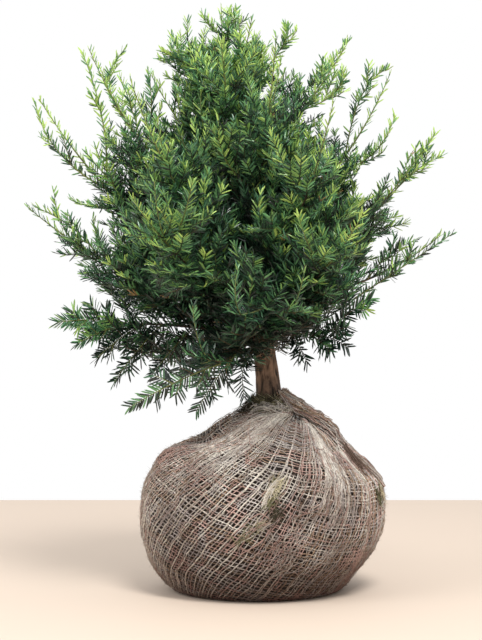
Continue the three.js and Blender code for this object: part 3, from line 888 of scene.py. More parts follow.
def blade_shape():
    """A needle of unit size: parallel edges, a short foot and a pointed tip, eight faces."""
    foot, tip = (0, 0, 0.5), (0, 1, -0.5)
    right, left = (0.5, 0.14, -0.5), (-0.5, 0.14, -0.5)
    right_end, left_end = (0.42, 0.78, 0.5), (-0.42, 0.78, 0.5)
    places = [foot, right, right_end, tip, left_end, left]
    faces = [(0, 2, 4), (3, 5, 1), (0, 1, 2), (1, 3, 2), (2, 3, 4), (3, 4, 5), (4, 0, 5), (0, 1, 5)]
    mesh = face_mesh("blade", places, faces)
    middle = sum((Vector(p) for p in places), Vector()) / len(places)
    for polygon in mesh.polygons:
        if polygon.normal.dot(polygon.center - middle) < 0:
            polygon.flip()
    return mesh


def fibre_shape():
    """A sliver of unit length with four faces."""
    places = [(-0.5, 0, 0), (0.5, 0, 0), (0, 0.1, 0.8), (0, 1, 0)]
    return face_mesh("fibre", places, [(0, 1, 2), (0, 3, 1), (0, 2, 3), (1, 3, 2)])


# ------------------------------------------------------------------ materials
def srgb(red, green, blue):
    channel = [c / 255 for c in (red, green, blue)]
    return [c / 12.92 if c <= 0.04045 else ((c + 0.055) / 1.055) ** 2.4 for c in channel] + [1.0]


class Finish(Nodes):
    """A material in the making, round one Principled shader."""

    def __init__(self, name, colour, roughness, **plain):
        self.material = bpy.data.materials.new(name)
        self.material.use_nodes = True
        super().__init__(self.material.node_tree)
        self.shader = self.tree.nodes["Principled BSDF"]
        for key, value in dict(Base_Color=srgb(*colour), Roughness=roughness, **plain).items():
            self.feed(self.shader.inputs[key.replace("_", " ")], value)

    def effect(self, group, **inputs):
        """What a shared group gives at each place of the piece."""
        place = self.node("ShaderNodeTexCoord").outputs["Object"]
        return self.node("ShaderNodeGroup", {"node_tree": group}, Place=place, **inputs).outputs[0]

    def patches(self, scale, low, high):
        return self.effect(PATCHES, Scale=scale, From=low, To=high)

    def grain(self, fineness, stretch=1.0):
        """Grain that is drawn out along Z where its stretch is under 1."""
        return self.effect(GRAIN, Fineness=fineness, Stretch=(1.0, 1.0, stretch))

    def between(self, value, low, high):
        return self.node("ShaderNodeMapRange", Value=value, From_Min=low, From_Max=high).outputs[0]

    def blend(self, share, low, high):
        """From one colour to the other by a share. A colour is a socket or three numbers up to 255."""
        low, high = (c if isinstance(c, bpy.types.NodeSocket) else srgb(*c) for c in (low, high))
        return self.node("ShaderNodeMix", {"data_type": "RGBA"}, _0=share, _6=low, _7=high).outputs[2]

    def bump(self, height, depth, strength):
        bump = self.node("ShaderNodeBump", Strength=strength, Distance=depth, Height=height).outputs[0]
        self.feed(self.shader.inputs["Normal"], bump)

    def colour(self, socket):
        self.feed(self.shader.inputs["Base Color"], socket)


class Effect(Nodes):
    """A shader group in the making, with named inputs and one output."""

    def __init__(self, name, output, **inputs):
        super().__init__(bpy.data.node_groups.new(name, "ShaderNodeTree"))
        self.tree.interface.new_socket("Place", in_out="INPUT", socket_type="NodeSocketVector")
        for label, value in inputs.items():
            kind = "Vector" if isinstance(value, tuple) else "Float"
            socket = self.tree.interface.new_socket(label, in_out="INPUT", socket_type=f"NodeSocket{kind}")
            socket.default_value = value
        self.tree.interface.new_socket(output, in_out="OUTPUT", socket_type="NodeSocketFloat")
        self.start = self.node("NodeGroupInput").outputs

    def close(self, socket):
        self.feed(self.node("NodeGroupOutput").inputs[0], socket)
        return self.tree


def patches_group():
    """Soft patches such as damp, dirt or moss."""
    effect = Effect("patches", "Mask", Scale=12.0, From=0.45, To=0.6)
    place, scale, low, high = (effect.start[label] for label in ("Place", "Scale", "From", "To"))
    noise = effect.node("ShaderNodeTexNoise", Vector=place, Scale=scale, Detail=6, Roughness=0.62)
    limits = effect.node("ShaderNodeMapRange", Value=noise.outputs["Fac"], From_Min=low, From_Max=high)
    return effect.close(limits.outputs[0])


def grain_group():
    """Long thin grain, such as the fibres of bark or cloth, for colour and for bump."""
    effect = Effect("grain", "Grain", Fineness=300.0, Stretch=(1.0, 1.0, 0.15))
    place, fineness, stretch = (effect.start[label] for label in ("Place", "Fineness", "Stretch"))
    drawn = effect.node("ShaderNodeVectorMath", {"operation": "MULTIPLY"}, _0=place, _1=stretch).outputs[0]
    noise = effect.node("ShaderNodeTexNoise", Vector=drawn, Scale=fineness, Detail=5, Distortion=0.6)
    return effect.close(noise.outputs["Fac"])


PATCHES = patches_group()
GRAIN = grain_group()
NEEDLE_COLOURS = dict(
    shade=(20, 38, 30), deep=(38, 70, 50), mid=(66, 110, 78), full=(96, 146, 92), fresh=(128, 168, 90),
    tip=(170, 202, 104), rust=(150, 122, 82),
)
# Light and dark colour of each kind of wood, in the order of its tones.
TWIG_COLOURS = dict(
    old_wood=((92, 72, 56), (54, 43, 36)),
    brown_twig=((98, 80, 54), (60, 52, 36)),
    green_twig=((124, 130, 72), (88, 96, 52)),
    # Shady twigs are green twigs darkened as painted shade, for the inner twigs high in the crown.
    shady_twig=((66, 74, 44), (46, 54, 34)),
)
# The jute's tones, from bleached straw to rusty brown: clean, and soiled. The soiled colour also serves as
# painted shade in the hollows of the folds, and the clean one as painted light on their crests.
JUTE_COLOURS = dict(
    jute_bleached=((255, 250, 238), (124, 102, 90)),
    jute_grey=((232, 224, 218), (104, 86, 80)),
    jute_pink=((234, 200, 188), (110, 78, 68)),
    jute_brown=((206, 178, 150), (82, 60, 50)),
)


def needle_finishes():
    """One plain colour for each tone of needle, with a waxy shine."""
    shine = dict(roughness=0.34, Specular_IOR_Level=0.6)
    return [Finish(f"needle_{tone}", NEEDLE_COLOURS[tone], **shine).material for tone in TONES]


def twig_finishes():
    """Old wood, brown twigs, this year's green twigs and green twigs darkened as painted shade."""
    finishes = []
    for name, (light, dark) in TWIG_COLOURS.items():
        finish = Finish(name, light, 0.68)
        finish.colour(finish.blend(finish.patches(40.0, 0.42, 0.62), dark, light))
        finishes.append(finish.material)
    return finishes


def bark_finish():
    """Brown plates between dark cracks, with a little moss."""
    finish = Finish("yew_bark", (84, 66, 52), 0.88)
    grain = finish.grain(170.0, 0.16)
    plates = finish.blend(finish.patches(26.0, 0.44, 0.6), (104, 84, 70), (152, 122, 100))
    scaly = finish.blend(finish.between(grain, 0.36, 0.58), (34, 27, 22), plates)
    finish.colour(finish.blend(finish.patches(19.0, 0.56, 0.66), scaly, (70, 70, 48)))
    finish.bump(grain, 0.0016, 0.9)
    return finish.material


def earth_finish():
    """Dark crumbs of loam, paler where it has dried."""
    finish = Finish("loam", (58, 46, 38), 0.97)
    grain = finish.grain(420.0, 0.5)
    loam = finish.blend(finish.patches(30.0, 0.4, 0.62), (40, 31, 27), (68, 56, 48))
    finish.colour(finish.blend(finish.between(grain, 0.35, 0.65), (30, 23, 19), loam))
    finish.bump(grain, 0.0025, 0.8)
    return finish.material


def burlap_finish(name, clean, dirty_and_shade):
    """Weathered jute, from its soiled colour to its clean one by the crest value: lighter on the crests of
    the folds and darker in the hollows below them, which is painted light and painted shade, and darker
    towards the bottom of the ball.
    """
    finish = Finish(name, clean, 0.93)
    grain = finish.grain(900.0)
    worn = [int(mix(c, d, 0.45)) for c, d in zip(clean, dirty_and_shade)]
    crest = finish.node("ShaderNodeAttribute", {"attribute_name": "crest"}).outputs["Fac"]
    jute = finish.blend(crest, dirty_and_shade, finish.blend(finish.patches(15.0, 0.38, 0.66), clean, worn))
    finish.colour(finish.blend(finish.between(grain, 0.28, 0.6), [int(c * 0.66) for c in worn], jute))
    finish.bump(grain, 0.0004, 0.8)
    return finish.material


def plain_finish(name, colour):
    finish = Finish(name, colour, 0.85)
    finish.colour(finish.blend(finish.patches(60.0, 0.35, 0.65), [int(c * 0.7) for c in colour], colour))
    return finish.material


# ------------------------------------------------------------------ crown
OLD_WOOD, BROWN_WOOD, GREEN_WOOD, SHADY_WOOD = 0, 1, 2, 3
GREEN_OUTSIDE = 0.95  # of the crown's reach
BROWN_BELOW = 430.0


def twig_tone(shoot):
    """Old wood at heart, brown twigs low in the crown, green wood on this year's shoots and near the crown's
    outside, and darker shady wood, painted shade, on the inner twigs higher up.
    """
    if shoot.order == NEW:
        return GREEN_WOOD
    if shoot.order == 0:
        return OLD_WOOD
    tip = shoot.bend.at(1)[0]
    if openness(tip) > GREEN_OUTSIDE:
        return GREEN_WOOD
    return BROWN_WOOD if tip[2] < BROWN_BELOW else SHADY_WOOD


def spray_points(shoots):
    """The foot of every needle on some shoots, apart from those in the trunk or above the leader."""
    rng = np.random.default_rng(shoots[0].seed)
    places, way, flat, size, tone = (np.concatenate(v) for v in zip(*(needles_on(s, rng) for s in shoots)))
    tips = places + way * (NEEDLE["length"] * size)[:, None]
    keep = off_the_trunk(places) & off_the_trunk(tips) & (tips[:, 2] < HEIGHT + 7)
    return point_mesh("sprays", places[keep], way=way[keep], flat=flat[keep], size=size[keep],
                      tone=tone[keep].astype(np.int32))


def twig_lines(shoots, stem_radius):
    lines, thick, tones = [], [], []
    for shoot in shoots:
        shares = np.linspace(0, 1, max(3, int(shoot.length / TWIG["step"])) + 1)
        root = stem_radius if shoot.order == 0 else TWIG["root"] * (1 + 0.5 * shoot.length / 100)
        tone = np.full(len(shares), twig_tone(shoot), np.int32)
        if shoot.order == 0:
            tone[shares > 0.55] = GREEN_WOOD
        lines.append(shoot.bend.at(shares))
        thick.append(mix(root, TWIG["tip"], shares**0.7))
        tones.append(tone)
    return line_mesh("twigs", lines, thick=thick, tone=tones)


def dress_crown(limbs):
    """The needles and the twigs of each mass, each as one piece, then those of the shoots between them."""
    blade = put("needle_blade", blade_shape())
    needles = blade_tree("needle_sprays", needle_finishes())
    twigs = tube_tree("fine_twigs", twig_finishes())

    def dress(name, shoots, wide, *nodes, stem_radius=None):
        shoots = list(shoots)
        length, width, thick = NEEDLE["length"] * MM, NEEDLE["width"] * wide * MM, NEEDLE["thick"] * MM
        sprays = grow(f"sprays_{name}", spray_points(shoots), needles, Blade=blade, Seed=shoots[0].seed,
                      Length=length, Width=width, Thickness=thick)
        finish_piece(sprays, "needles", *nodes)
        finish_piece(grow(f"twigs_{name}", twig_lines(shoots, stem_radius), twigs, Sides=4), "bark")

    for limb in limbs:
        radius = BOUGH["tip_radius"] * math.sqrt(limb.length / BOUGH["full_length"])
        wide = FROND["width"] if limb.name.startswith(FROND["tier"]) else 1
        dress(limb.name, shoots_of(limb), wide, f"needles_{limb.name}", stem_radius=radius)
    dress("trunk_sprigs", sprigs_round_trunk(), SPRIG["width"])
    woody = [limb for limb in limbs if limb.wood]
    for name, first in (("odd_bough_sprigs", 0), ("even_bough_sprigs", 1)):
        dress(name, (sprig for limb in woody[first::2] for sprig in sprigs_on_bough(limb)), SPRIG["width"])
    dress("hanging_sprig", hanging_sprig(), 1)
    dress("arms", arms_of(limbs), ARM["width"])
    dress("fronds", fronds_of(limbs), FROND["width"])
    bpy.data.objects.remove(blade)


# ------------------------------------------------------------------ trunk and boughs
TRUNK_BARK = dict(sides=56, depth=1.5, seed=5)
BOUGH_BARK = dict(sides=14, depth=0.8)
TRUNK_STEPS, BOUGH_STEPS = 300, 26


def bark_skin(middles, radii, sides, depth, seed):
    """A closed tube of bark: long ridges, plates and knots round a line of middles."""
    steps = len(middles)
    turn = np.linspace(0, 2 * math.pi, sides, endpoint=False)
    along = unit(np.gradient(middles, axis=0))
    side = unit(np.cross(along, np.array([0.0, 1.0, 0.0])))
    front = np.cross(along, side)
    ring = side[:, None] * np.cos(turn)[None, :, None] + front[:, None] * np.sin(turn)[None, :, None]
    rows = middles[:, None] + ring * radii[:, None, None]
    flat = rows.reshape(-1, 3)
    ridges = lumps(flat * (1, 1, 0.22), 7.0, seed) + 0.6 * lumps(flat * (1, 1, 0.3), 3.2, seed + 1)
    plates = lumps(flat * (1, 1, 0.6), 17.0, seed + 2)
    rise = depth * (0.55 * ridges + 0.45 * plates).reshape(steps, sides, 1)
    return rows + ring * rise * np.minimum(1, radii / 9)[:, None, None]


def make_bark(limbs, material):
    """The trunk with its three buttresses as one piece, and the bare wood of all boughs as another."""
    heights = mix(BALL["top"] - 6, TRUNK["end"] + 2, np.linspace(0, 1, TRUNK_STEPS) ** 1.15)
    turn = np.linspace(0, 2 * math.pi, TRUNK_BARK["sides"], endpoint=False)
    radii = trunk_radius(heights)
    rows = bark_skin(trunk_at(heights), radii, **TRUNK_BARK)
    spread = TRUNK["buttress"] * np.exp(-np.clip(heights - BALL["top"], 0, None) / TRUNK["flare_height"])
    swell = (radii * spread)[:, None] * np.cos(3 * turn)[None]
    rows[..., 0] += swell * np.cos(turn)
    rows[..., 1] += swell * np.sin(turn)
    trunk = put("bark_trunk", grid_mesh("bark_trunk", rows, capped=True), [material])
    finish_piece(trunk, "bark", "trunk")

    woody = [limb for limb in limbs if limb.wood]
    meshes = []
    shares = np.linspace(0, 1, BOUGH_STEPS)
    for limb in woody:
        thick = math.sqrt(limb.length / BOUGH["full_length"])
        radii = mix(BOUGH["root_radius"], BOUGH["tip_radius"], shares) * thick
        radii = radii * (1 + 0.5 * np.exp(-shares * limb.length * 0.2 / 9))
        rows = bark_skin(limb.wood.at(shares), radii, seed=limb.seed, **BOUGH_BARK)
        meshes.append(grid_mesh("bough", rows, capped=True))
    boughs = join_meshes("bark_boughs", meshes)
    boughs.data.materials.append(material)
    finish_piece(boughs, "bark", *(f"bough_{limb.name}" for limb in woody))


# ------------------------------------------------------------------ root ball
BALL_MIDDLE = np.array([9.0, 0.0, 112.0])
SIGHT_TURNS, SIGHT_STEPS = 96, 271
SIGHT_LOW, SIGHT_HIGH = -50.0, 85.0  # degrees

# The cloth is drawn together at a gather on the ball's front, right of the trunk. Its long threads run to
# that gather from all round, and its cross threads ring it.
GATHER = dict(x=57.0, height=250.0, split=0.05, split_turn=-2.0, split_reach=24.0)
# Turn round the gather in degrees, 0 straight down and plus to the right; height; half width in degrees.
RIDGES = [
    (-100, 3.0, 9), (-72, 3.6, 8), (-46, 6.6, 10), (-25, 4.0, 6), (30, 6.4, 9), (54, 4.2, 8), (82, 4.6, 9),
]
# The two pale folds are partly bleached jute and partly painted light on the highest crests.
PALE_RIDGES = [(-46, 15), (30, 11)]  # turn and half width
# Bearing in degrees, height, half spreads in degrees and in mm, and depth: where the ball is dented.
DENTS = [
    (200, 228, 40, 15, -14.0), (192, 200, 44, 12, 4.0), (-8, 190, 42, 30, -13.0), (-84, 76, 16, 16, -3.0),
    (-22, 26, 50, 38, -5.0),
]
CLOTH = dict(
    threads=218,  # long threads round the ball
    pitch=4.7,  # between the cross threads
    radius=150.0,  # of the ball, for spacing alone
    thread=0.84,  # radius of a long thread
    cross=0.8,  # radius of a cross thread
    shear=40.0,  # degrees by which the cloth is dragged round below the gather, most on the left
    sheared_turn=-60.0,
    clear=1.0,
    low=1.6,  # no thread's middle is lower than this
    neck=27.0,  # the cloth ends at this distance from the trunk's middle
    bright=0.92,  # how clean a long thread is
    cross_bright=0.84,
)
# The jute's tones, and the share of the threads in each.
BLEACHED, GREY, PINK, BROWN = 0, 1, 2, 3
JUTE_SHARES = (0.3, 0.3, 0.2, 0.2)
# Layers of soft relief: how high, how wide and which seed.
SOFT_LUMPS = [(2.4, 44.0, 21), (1.6, 19.0, 22)]
STRAY_ALONG = [(4.0, 62.0, 31), (1.6, 21.0, 32), (1.0, 8.0, 35)]
STRAY_ACROSS = [(4.6, 66.0, 33), (1.6, 23.0, 34), (0.9, 8.0, 36)]
MOTTLE = [(0.3, 11.0, 43), (0.16, 30.0, 44)]
CRUMBS = [(1.0, 12.0, 3), (0.8, 5.0, 4)]
LOAM_DEPTH = 3.0  # under the cloth
# Stains on the threads: size, seed, how rare, and the tone.
STAINS = [(27.0, 41, 0.36, PINK), (24.0, 42, 0.42, GREY)]
# Left of the front, below the folds, every third long thread is thick and pale.
BOLD = dict(turn=(-32, 34), apart=(38, 62))
# A wave is given by its range of sizes and its range of paces.
DRAWN = dict(
    count=150, spread=0.62, first=(2, 12), last=(26, 74), points=44, curl=((0.4, 1.3), (14, 46)),
    bend=((0.5, 2.0), (3, 9)), lift=1.8, pile=3.0, thick=(0.4, 0.72), clean=(0.8, 1.0),
)
MATTED = dict(
    count=1300, spread=1.1, apart=(12, 100), length=(12.0, 42.0), heading=0.55, points=12,
    wave=((0.5, 2.2), (0.12, 0.45)), low=8.0, thick=(0.25, 0.5), clean=(0.35, 1.0),
)
ROLL_START = [(34, -12, 290), (42, -16, 280), (56, -20, 269), (74, -23, 259), (90, -22, 248), (105, -20, 235)]
ROLL = dict(
    bearing=-10.0, heights=(222, 206, 188, 168, 150), lift=4.0, wide=(8.0, 11.0, 11.5, 8.0, 6.5, 4.0),
    flat=0.72, steps=120, threads=60, turns=0.6, clean=(0.45, 1.0), frayed=210,
)
# The rings round the trunk's foot: radius, height, tilt, bearing and thickness.
NECK_RINGS = [(28, 268, 3, 2.6, 4.2), (25, 272, 3, 0.2, 3.4), (31, 264, 3, 4.6, 3.8)]
RING = dict(wound=1.03, steps=100, flat=0.8, threads=18, turns=3.0)
# The corner of cloth that is pulled up at the top of each pale fold, between two distances from the gather.
CORNER = dict(first=1.0, last=13.0, steps=26, lift=4.2, thick=3.6, flat=0.8, threads=16, turns=0.8)
# Patches where most of the long threads are gone: turn and half width, first and last distance from the
# gather, all in degrees, and how many of every six long threads are left.
WORN = [(-5, 13, 9, 54, 2), (-104, 30, 8, 66, 1), (150, 60, 16, 60, 4)]
# The cross threads that are left bare in the worn patch on the front.
LADDER = dict(rungs=11, first=10.0, last=36.0, left=-17.0, right=15.0, sag=1.6, lift=2.4)
# Points (x, height) on the front that the upper and the lower thread of a snag run through.
SNAG = dict(
    upper=[(-46, 92), (-26, 112), (-8, 130), (4, 135), (14, 122)],
    lower=[(-40, 58), (-16, 76), (0, 84), (12, 94), (18, 108)],
    threads=7,
    steps=24,
)
# The edge of the flap along the right side: a dark crease, whose dark brown threads are painted shade under
# the flap, and the pale edge below it.
CREASE_SHADE = [
    (44, 260), (60, 256), (80, 250), (98, 241), (112, 232), (124, 219), (136, 204), (150, 188), (158, 172),
]
FLAP_EDGE = [(104, 226), (118, 211), (132, 194), (146, 178), (156, 160)]
STRAWS = [(6, 134), (11, 150), (20, 166), (34, 175)]
# Route on the front, count of threads, spread in mm, tone, and the range of their cleanness.
LOOSE = [
    # The crease threads are dark brown and hardly clean at all: painted shade under the flap.
    (CREASE_SHADE, 44, 1.9, BROWN, (0.0, 0.12)),
    (FLAP_EDGE, 20, 1.3, BLEACHED, (0.6, 1.0)),
    (STRAWS, 22, 4.0, BLEACHED, (0.8, 1.0)),
]
LOOSE_STEPS = 50


def sight_table():
    """For each bearing, how high a ray from the ball's middle meets its side, by the ray's steepness."""
    heights = np.linspace(0, BALL["top"], 700)
    rises = np.radians(np.linspace(SIGHT_LOW, SIGHT_HIGH, SIGHT_STEPS))
    table = np.zeros((SIGHT_TURNS, SIGHT_STEPS))
    for i in range(SIGHT_TURNS):
        side = ball_point(heights, np.full_like(heights, 2 * math.pi * i / SIGHT_TURNS)) - BALL_MIDDLE
        table[i] = np.interp(rises, np.arctan2(side[:, 2], np.hypot(side[:, 0], side[:, 1])), heights)
    return table


SIGHT = sight_table()


def height_in_sight(rise, bearing):
    """The table's height for a ray, between its nearest entries."""
    turn = (bearing / (2 * math.pi) % 1) * SIGHT_TURNS
    share = (np.degrees(rise) - SIGHT_LOW) / (SIGHT_HIGH - SIGHT_LOW)
    step = np.clip(share, 0, 1) * (SIGHT_STEPS - 1)
    i, j = np.floor(turn).astype(int) % SIGHT_TURNS, np.clip(np.floor(step).astype(int), 0, SIGHT_STEPS - 2)
    low = mix(SIGHT[i, j], SIGHT[(i + 1) % SIGHT_TURNS, j], turn - np.floor(turn))
    high = mix(SIGHT[i, j + 1], SIGHT[(i + 1) % SIGHT_TURNS, j + 1], turn - np.floor(turn))
    return mix(low, high, step - j)


def on_ball(ways):
    """Where rays from the ball's middle meet its skin, its flat foot and flat top included."""
    rise = np.arcsin(np.clip(ways[:, 2], -1, 1))
    wanted = np.arctan2(ways[:, 1], ways[:, 0])
    bearing = wanted
    for _ in range(3):
        height = height_in_sight(rise, bearing)
        flat = (ball_point(height, bearing) - BALL_MIDDLE)[:, :2]
        miss = wanted - np.arctan2(flat[:, 1], flat[:, 0])
        bearing = bearing + (miss + math.pi) % (2 * math.pi) - math.pi
    places = ball_point(height, bearing)
    flat = places[:, :2] - BALL_MIDDLE[:2]
    level = np.abs(places[:, 2] - BALL_MIDDLE[2])
    room = level / np.maximum(np.tan(np.abs(rise)), 0.001) / np.linalg.norm(flat, axis=1)
    ends = (height < 0.01) | (height > BALL["top"] - 0.01)
    places[:, :2] = BALL_MIDDLE[:2] + flat * np.where(ends, np.minimum(room, 1), 1)[:, None]
    return places


def from_front(x, height):
    """The bearing of a point of the ball's front, from how far right it lies and how high."""
    bearing = np.full_like(x, -math.pi / 2)
    middle = BALL["neck_shift"] * height / BALL["top"]
    for _ in range(8):
        radius = ball_radius(height, bearing) + ball_relief(height, bearing)
        bearing = -np.arccos(np.clip((x - middle) / radius, -0.995, 0.995))
    return bearing


def way_to_front(x, height):
    x, height = (np.atleast_1d(np.asarray(v, float)) for v in (x, height))
    return unit(ball_point(height, from_front(x, height)) - BALL_MIDDLE)


AXIS = way_to_front(GATHER["x"], GATHER["height"])[0]
DOWN = unit(np.array([0.0, -AXIS[2], AXIS[1]]))
RIGHT = np.cross(AXIS, DOWN)


def cloth_way(apart, turn):
    """The way to the spot that lies an angle apart from the gather, at a turn round it."""
    dragged = ramp(apart, 0.6, 2.7) * (0.5 + 0.5 * np.cos(turn - math.radians(CLOTH["sheared_turn"])))
    turn = turn - math.radians(CLOTH["shear"]) * dragged
    side = np.tanh((turn - math.radians(GATHER["split_turn"])) / 0.14) * (0.5 + 0.5 * np.cos(turn))
    split = GATHER["split"] * side * np.exp(-((apart / math.radians(GATHER["split_reach"])) ** 2))
    out = DOWN * np.cos(turn)[:, None] + RIGHT * np.sin(turn)[:, None]
    return unit(AXIS * np.cos(apart)[:, None] + out * np.sin(apart)[:, None] + RIGHT * split[:, None])


def seen_from_gather(ways):
    """How far from the gather each way points, and at which turn round it, both in degrees."""
    apart = np.degrees(np.arccos(np.clip(ways @ AXIS, -1, 1)))
    return apart, np.degrees(np.arctan2(ways @ RIGHT, ways @ DOWN))


def hump(values, middle, width):
    return np.exp(-(((values - middle) / width) ** 2))


def folds(apart, turn):
    """The folds that run out from the gather and fade down the ball."""
    strength = ramp(apart, 3, 20) * (1 - ramp(apart, 52, 104))
    bent = turn + 5 * np.sin(np.radians(apart * 2.3))
    total = sum(rise * hump(bent, middle, width) for middle, rise, width in RIDGES)
    fine = 0.9 * np.sin(np.radians(bent * 21)) * np.cos(np.radians(turn / 2)) ** 2
    return strength * (total + fine)


def paleness(apart, turn):
    """Where the cloth is paler: along the two highest folds, partly bleached jute and partly painted light on
    their crests.
    """
    near = sum(hump(turn, middle, width) for middle, width in PALE_RIDGES)
    return np.clip(near, 0, 1) * (1 - ramp(apart, 50, 92))


def dents(places):
    bearing = np.degrees(np.arctan2(places[:, 1], places[:, 0] - BALL_MIDDLE[0]))
    total = np.zeros(len(places))
    for middle, height, wide, high, depth in DENTS:
        off = (bearing - middle + 180) % 360 - 180
        total += depth * hump(off, 0, wide) * hump(places[:, 2], height, high)
    return total


def relief(places, layers):
    return sum(height * lumps(places, size, seed) for height, size, seed in layers)


def cloth_skin(ways, lift=0.0):
    """The skin that loam and cloth share: the ball with its dents, its soft lumps and its folds."""
    places = on_ball(ways)
    free = ramp(places[:, 2], 3, 26) * ramp(BALL["top"] - places[:, 2], 0, 10)
    lump = relief(places, SOFT_LUMPS) + dents(places)
    apart, turn = seen_from_gather(ways)
    rise = free * lump + ramp(places[:, 2], 3, 26) * folds(apart, turn) + lift
    places = places + ways * np.broadcast_to(rise, len(places))[:, None]
    places[:, 2] = np.maximum(places[:, 2], CLOTH["low"])
    return places


class Yarn:
    """Threads in the making: their lines, and the values of each point."""

    def __init__(self, seed):
        self.rng = np.random.default_rng(seed)
        self.lines = []
        self.values = dict(thick=[], crest=[], tone=[])

    def add(self, line, thick, crest, tone=None):
        count = len(line)
        tone = self.tone() if tone is None else tone
        self.lines.append(line)
        self.values["thick"].append(np.broadcast_to(np.clip(thick, 0.25, 12), count))
        self.values["crest"].append(np.broadcast_to(np.clip(crest, 0, 1), count))
        self.values["tone"].append(np.broadcast_to(np.int32(tone), count))

    def add_runs(self, line, keep, thick, crest, tone):
        """Only the stretches of a line that are kept."""
        for run in np.split(np.arange(len(line)), np.where(np.diff(keep.astype(int)) != 0)[0] + 1):
            if keep[run[0]] and len(run) > 2:
                self.add(line[run], thick[run], crest[run], tone[run])

    def tone(self):
        """Which of the jute's tones a thread has."""
        return int(self.rng.choice(len(JUTE_SHARES), p=JUTE_SHARES))

    def spin(self, name, tubes, sides=3):
        return grow(name, line_mesh(name, self.lines, **self.values), tubes, Sides=sides)


def off_the_neck(places):
    away = np.hypot(places[:, 0] - BALL["neck_shift"], places[:, 1])
    return (away > CLOTH["neck"]) | (places[:, 2] < BALL["top"] - 20)


def wander(ways):
    """How far the weave strays along and across the long threads, as angles."""
    spots = ways * CLOTH["radius"]
    return relief(spots, STRAY_ALONG) / CLOTH["radius"], relief(spots, STRAY_ACROSS) / CLOTH["radius"]


def wave(rng, run, sizes, paces):
    """A wave along a run of numbers, whose size, pace and start are drawn."""
    return rng.uniform(*sizes) * np.sin(run * rng.uniform(*paces) + rng.uniform(0, 6))


def worn_away(apart, turn, order):
    """Where a long thread of the given order is missing."""
    gone = np.zeros(len(apart), bool)
    for middle, wide, first, last, left in WORN:
        if order % 6 >= left:
            gone |= (np.abs(turn - middle) < wide) & (apart > first + order % 5) & (apart < last - order % 7)
    return gone


def thread_on_cloth(yarn, apart, turn, over, radius, clump=0.0, bold=0.0, order=None):
    """One thread of the weave, with the cloth's stray, stains, mottled dirt and paleness, painted light and
    painted shade over the folds, and darker towards the bottom. Long threads have an order.
    """
    rng = yarn.rng
    along, across = wander(cloth_way(apart, turn))
    wide = np.maximum(np.sin(apart), 0.3)
    tight = ramp(apart, 0.35, 0.9)
    apart, turn = apart + along * tight, turn + across * tight / wide
    ways = cloth_way(apart, turn)
    degrees = seen_from_gather(ways)
    pale = paleness(*degrees)
    lift = CLOTH["clear"] + over + clump * (1 - ramp(apart, 0.1, 0.75))
    places = cloth_skin(ways, lift)
    thick = radius * rng.uniform(0.78, 1.22) * (1 + 0.2 * rng.normal(0, 1, len(apart)))
    bold = bold * hump(degrees[1], *BOLD["turn"]) * ramp(degrees[0], *BOLD["apart"])
    thick = thick * mix(0.72, 1, ramp(apart, 0.2, 0.9)) * (1 + 0.3 * bold)
    # Threads are darker towards the bottom of the ball.
    height_share = ramp(places[:, 2], -4, 108)
    bright = CLOTH["bright" if order is not None else "cross_bright"]
    mottle = relief(places, MOTTLE) + 0.15 * rng.normal(0, 1, len(apart))
    # The folds term makes a thread lighter on the crests of the folds and darker in the hollows between them:
    # painted light and painted shade.
    crest = (bright + 0.42 * pale + 0.05 * folds(*degrees) + 0.5 * bold + mottle + 0.13 * rng.normal()) * height_share
    tone = np.full(len(places), yarn.tone())
    for size, seed, rare, stain in STAINS:
        tone[lumps(places, size, seed) > rare] = stain
    # Threads along the pale folds take the bleached tone, which there is also painted light.
    if rng.random() < 1.2 * pale.mean() or bold.max() > 0.5:
        tone[:] = BLEACHED
    keep = off_the_neck(places)
    if order is not None:
        keep &= ~worn_away(*degrees, order)
    yarn.add_runs(places, keep, thick, crest, tone)


def long_threads(half):
    """Half of the threads that run to the gather, thinned out under the ball where they meet."""
    yarn = Yarn(140 + half)
    rng = yarn.rng
    step = 0.5 * CLOTH["pitch"] / CLOTH["radius"]
    count = CLOTH["threads"]
    for i in range(half, count, 2):
        first = math.radians(rng.uniform(0.6, 6))
        ends = ((172, 176) if i % 4 == 1 else (150, 162)) if i % 2 else (132, 148)
        last = math.radians(rng.uniform(*ends))
        index = np.arange(math.ceil(first / step), int(last / step))
        apart = index * step
        turn = 2 * math.pi * (i + 0.1 * rng.normal()) / count - math.pi
        pull = 0.3 * math.sin(i * 1.83) * (1 - ramp(apart, 0.8, 1.7))
        pull = pull + 0.16 * np.sin(apart * 7 + rng.uniform(0, 6))
        over = 0.25 + 0.45 * np.cos(math.pi * (index / 2 + i)) * ramp(apart, 0.35, 0.7)
        turn = turn + pull * 2 * math.pi / count
        clump = rng.uniform(0.2, 3.2)
        thread_on_cloth(yarn, apart, turn, over, CLOTH["thread"], clump, float(i % 3 == 0), i)
    return yarn


def cross_threads(half):
    """Half of the threads that ring the gather, passing under and over the long ones."""
    yarn = Yarn(150 + half)
    rng = yarn.rng
    pitch = CLOTH["pitch"] / CLOTH["radius"]
    for ring in range(7, int(math.radians(174) / pitch)):
        if ring % 2 != half:
            continue
        apart = ring * pitch
        points = max(40, int(2 * math.pi * CLOTH["radius"] * math.sin(apart) / (0.5 * CLOTH["pitch"])))
        turn = np.linspace(-math.pi, math.pi, points) + rng.uniform(0, 0.05)
        along = apart + 0.1 * pitch * rng.normal() + 0.14 * pitch * np.sin(turn * 9 + rng.uniform(0, 6))
        over = -np.cos(math.pi * (turn + math.pi) / (2 * math.pi) * CLOTH["threads"] + math.pi * ring)
        over = 0.5 * over * ramp(np.full(points, apart), 0.5, 1.0)
        thread_on_cloth(yarn, along, turn, over, CLOTH["cross"], 0.4)
    return yarn


